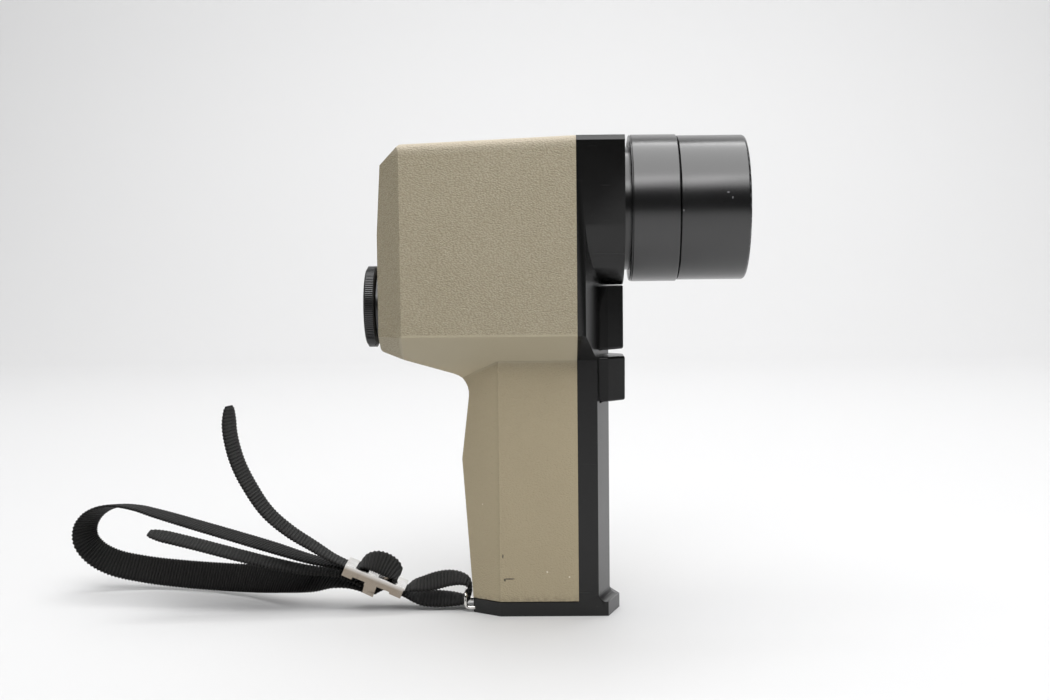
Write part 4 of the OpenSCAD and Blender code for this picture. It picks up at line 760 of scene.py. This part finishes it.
def makeBarrel():
    (x0, x1), r = lens["barrelX"], lens["barrelR"]
    neck, guide, cell = lens["neckR"], lens["guideR"], lens["cellR"]
    outline = [(x0, neck)]
    outline += [(x0 + along, r - drop) for along, drop in lens["barrelRear"]]
    outline += [(x1 - along, r - drop) for along, drop in lens["barrelFront"]]
    outline += [(x1, guide), (lens["guideX"], guide), (lens["guideX"], cell), (lens["neckX"], cell),
                (lens["neckX"], neck)]
    mesh = turnedMesh("lensBarrel", roundedOutline(outline, 0.12), lens["z"])
    settle(newPiece("lensBarrel", mesh, finishes["lens"]), "body", "lens_black", "barrel_base")


def makeFocusRing():
    (x0, x1), r = lens["ringX"], lens["ringR"]
    bore, thread, groove = lens["ringBore"], lens["thread"], lens["grooveR"]
    outline = [(x0, bore)]
    outline += [(x0 + along, r - drop) for along, drop in lens["ringRear"]]
    outline += [(x1 - along, r - drop) for along, drop in lens["ringFront"]]
    outline += [(x1, thread + lens["lead"]), (x1 - lens["leadLength"], thread)]
    for k in range(lens["turns"]):  # filter thread, cut into the rim's wall
        x = x1 - lens["firstTurn"] - lens["pitch"] * k
        outline += [(x - back, thread + out) for back, out in lens["turn"]]
    reliefBack, reliefFront = lens["reliefX"]
    outline += [(reliefFront, thread), (reliefFront, lens["reliefR"]), (reliefBack, lens["reliefR"]),
                (reliefBack, lens["stepR"]), (lens["stepX"], lens["stepR"]), (lens["stepX"], bore)]
    grooveBack, grooveFront = lens["grooveX"]
    outline += [(grooveFront, bore), (grooveFront, groove), (grooveBack, groove), (grooveBack, bore)]
    mesh = turnedMesh("focusRing", roundedOutline(outline, 0.1, 2), lens["z"])
    settle(newPiece("focusRing", mesh, finishes["lens"]), "focus_ring", "lens_black", "focus_ring")


makeBarrel()
makeFocusRing()
print("lens made")


# a ring of equal bars round an axis: count, radius, bar size, turn of the ring and its centre
def barRing(name, count, radius, bar, turn, centre, finish):
    tree = Tree(name)
    number = tree.input("Count", count, "NodeSocketInt")
    reach = tree.input("Radius", radius * mm)
    size = tree.input("Bar", tuple(v * mm for v in bar), "NodeSocketVector")
    shape = tree.node("GeometryNodeMeshCube", None, {"Size": size})
    circle = tree.node("GeometryNodeMeshCircle", None, {"Vertices": number, "Radius": reach})
    spot = tree.node("GeometryNodeInputPosition")
    aim = tree.node("FunctionNodeAlignRotationToVector", {"axis": "X"}, {"Vector": spot.outputs[0]})
    many = tree.node("GeometryNodeInstanceOnPoints", None, {
        "Points": circle.outputs[0], "Instance": shape.outputs[0], "Rotation": aim.outputs[0]})
    stand = tree.node("GeometryNodeTransform", None, {
        "Geometry": many.outputs[0], "Rotation": turn, "Translation": tuple(v * mm for v in centre)})
    tree.close(stand.outputs[0], finish)
    return tree.bake(newPiece(name, bpy.data.meshes.new(name)))


# eyepiece ring with its knurl
eyepiece = {"z": 114.0, "x": (-69.7, -65.8), "radius": 15.0, "teeth": 120, "depth": 0.55, "tooth": 0.34,
            "toothEnds": 1.1, "toothShift": 0.1, "viewR": 7.15, "cup": (1.2, 3.0), "sleeveR": 8.55,
            "collarR": 9.95, "sleeveX": -55.4, "rear": [(0, 0.5), (0.55, 0)], "front": [(0.3, 0), (0, 0.3)]}


def makeEyepiece():
    x0, x1 = eyepiece["x"]
    r = eyepiece["radius"] - eyepiece["depth"]
    view, (cupDepth, cupWide) = eyepiece["viewR"], eyepiece["cup"]
    sleeve, collar, inner = eyepiece["sleeveR"], eyepiece["collarR"], eyepiece["sleeveX"]
    outline = [(x0 + cupDepth, view), (x0, view + cupWide)]
    outline += [(x0 + along, r - drop) for along, drop in eyepiece["rear"]]
    outline += [(x1 - along, r - drop) for along, drop in eyepiece["front"]]
    outline += [(x1, collar), (inner, collar), (inner, sleeve), (x1, sleeve), (x1, view)]
    mesh = turnedMesh("eyepieceCore", roundedOutline(outline, 0.2), eyepiece["z"])
    settle(newPiece("eyepieceCore", mesh, finishes["mould"]), "eyepiece_ring", "eyepiece", "eyepiece_ring")
    bar = (eyepiece["depth"] * 2, eyepiece["tooth"], x1 - x0 - eyepiece["toothEnds"])
    centre = ((x0 + x1) / 2 + eyepiece["toothShift"], 0, eyepiece["z"])
    upright = (0, math.pi / 2, 0)
    knurl = barRing("eyepieceKnurl", eyepiece["teeth"], r, bar, upright, centre, finishes["knurl"])
    settle(knurl, "eyepiece_ring", "eyepiece")


makeEyepiece()
print("eyepiece made")

# calculator dial on the left side, with plain figures
dial = {
    "x": -24.2, "z": 140.0, "outerFace": 30.8, "innerFace": 32.9, "raised": 0.03,
    "times": ["1", "2", "4", "8", "15", "30", "60", "125", "250", "500", "1000", "2000"],
    "stops": ["1", "1.4", "2", "2.8", "4", "5.6", "8", "11", "16", "22", "32", "45"],
    "speeds": ["12", "25", "50", "100", "200", "400", "800", "1600", "3200", "6400"],
    "figures": [  # name, words, radius, size, start and sweep in degrees, face, finish, body, slot
        ("dialTimes", "times", 21.0, 1.9, -82, 180, "outerFace", "ink", "exposure_dial", "dial"),
        ("dialStops", "stops", 21.0, 1.9, 98, 180, "outerFace", "inkRed", "exposure_dial", "dial"),
        ("filmSpeeds", "speeds", 12.2, 2.0, 0, 360, "innerFace", "inkDark", "film_dial", "film_dial"),
    ],
    "ticks": [  # name, count, radius, bar, face, finish, body, slot
        ("dialTicks", 72, 23.15, (0.8, 0.16, 0.05), "outerFace", "ink", "exposure_dial", "dial"),
        ("dialInnerTicks", 36, 18.2, (1.2, 0.2, 0.05), "outerFace", "ink", "exposure_dial", "dial"),
        ("filmTicks", 30, 14.9, (1.1, 0.18, 0.05), "innerFace", "inkDark", "film_dial", "film_dial"),
    ],
}


# raised figures, read from the left side
def figureRing(name, words, radius, size, start, sweep, level, finish):
    work = bmesh.new()
    for i, word in enumerate(words):
        data = bpy.data.curves.new(name, "FONT")
        data.body, data.size, data.extrude, data.resolution_u = word, size * mm, dial["raised"] * mm, 2
        data.align_x, data.align_y = "CENTER", "CENTER"
        letter = bpy.data.objects.new(name, data)
        bpy.context.scene.collection.objects.link(letter)
        bpy.context.view_layer.update()
        mesh = bpy.data.meshes.new_from_object(letter.evaluated_get(bpy.context.evaluated_depsgraph_get()))
        angle = math.radians(start + sweep * i / len(words))
        place = Vector((math.sin(angle) * radius * mm, math.cos(angle) * radius * mm, 0))
        mesh.transform(Matrix.Translation(place) @ Matrix.Rotation(-angle, 4, "Z"))
        work.from_mesh(mesh)
        bpy.data.objects.remove(letter)
        bpy.data.curves.remove(data)
        bpy.data.meshes.remove(mesh)
    x, y, z = dial["x"] * mm, level * mm, dial["z"] * mm
    stand = Matrix(((-1, 0, 0, x), (0, 0, 1, y), (0, 1, 0, z), (0, 0, 0, 1)))
    bmesh.ops.transform(work, matrix=stand, verts=work.verts)
    return newPiece(name, closedMesh(name, work), finish)


def makeDial():
    for name, words, radius, size, start, sweep, face, finish, body, slot in dial["figures"]:
        ring = figureRing(name, dial[words], radius, size, start, sweep, dial[face], finishes[finish])
        settle(ring, body, slot)
    facing = (-math.pi / 2, 0, 0)
    for name, count, radius, bar, face, finish, body, slot in dial["ticks"]:
        centre = (dial["x"], dial[face], dial["z"])
        settle(barRing(name, count, radius, bar, facing, centre, finishes[finish]), body, slot)


makeDial()
print("dial made")

# trigger springs
spring = {"press": 2.56, "joints": {"upper": "upper_trigger_press", "lower": "lower_trigger_press"}}
for which, joint in spring["joints"].items():
    coil = dressed(which + "_spring", which + "Coil", finishes["steel"], "body", "spring", 0, shade=70)
    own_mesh(coil)
print("springs made")

# everything else keeps its solid and gets its finish
nodesOf = {
    "screw": ["cover_screws", "chassis_screws", "lens_mount_screws", "coin_screw", "dial_screw", "focus_key",
              "eyepiece_clip"],
    "lens": ["lens_mount", "ring_retainer", "lens_cell", "cell_ring", "rear_lens_ring", "photocell_holder",
             "ocular_cell"],
    "lensGlass": ["front_lens", "rear_lens", "ocular_lens", "condenser_lens", "prism"],
    "screenGlass": ["focusing_screen"], "mirror": ["mirror"], "scale": ["scale_plate"],
    "chassis": ["mirror_box", "prism_cradle", "cell_bracket", "meter_shelf"],
    "knurl": ["eyepiece_tube"], "photocell": ["photocell"], "brass": ["meter_housing", "tripod_bush"],
    "needle": ["needle"], "board": ["circuit_board"], "trimmer": ["trimmers"], "resistor": ["resistors"],
    "steel": ["trigger_bracket"], "mould": ["upper_switch", "lower_switch", "battery_snap", "battery_tray"],
    "battery": ["battery"], "dialBlack": ["dial_plate", "exposure_dial"], "dialSilver": ["film_dial"],
}
for finish, nodes in nodesOf.items():
    for node in nodes:
        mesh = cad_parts[node].data
        mesh.materials.clear()
        mesh.materials.append(finishes[finish])
print("nodes finished:", sum(len(nodes) for nodes in nodesOf.values()))
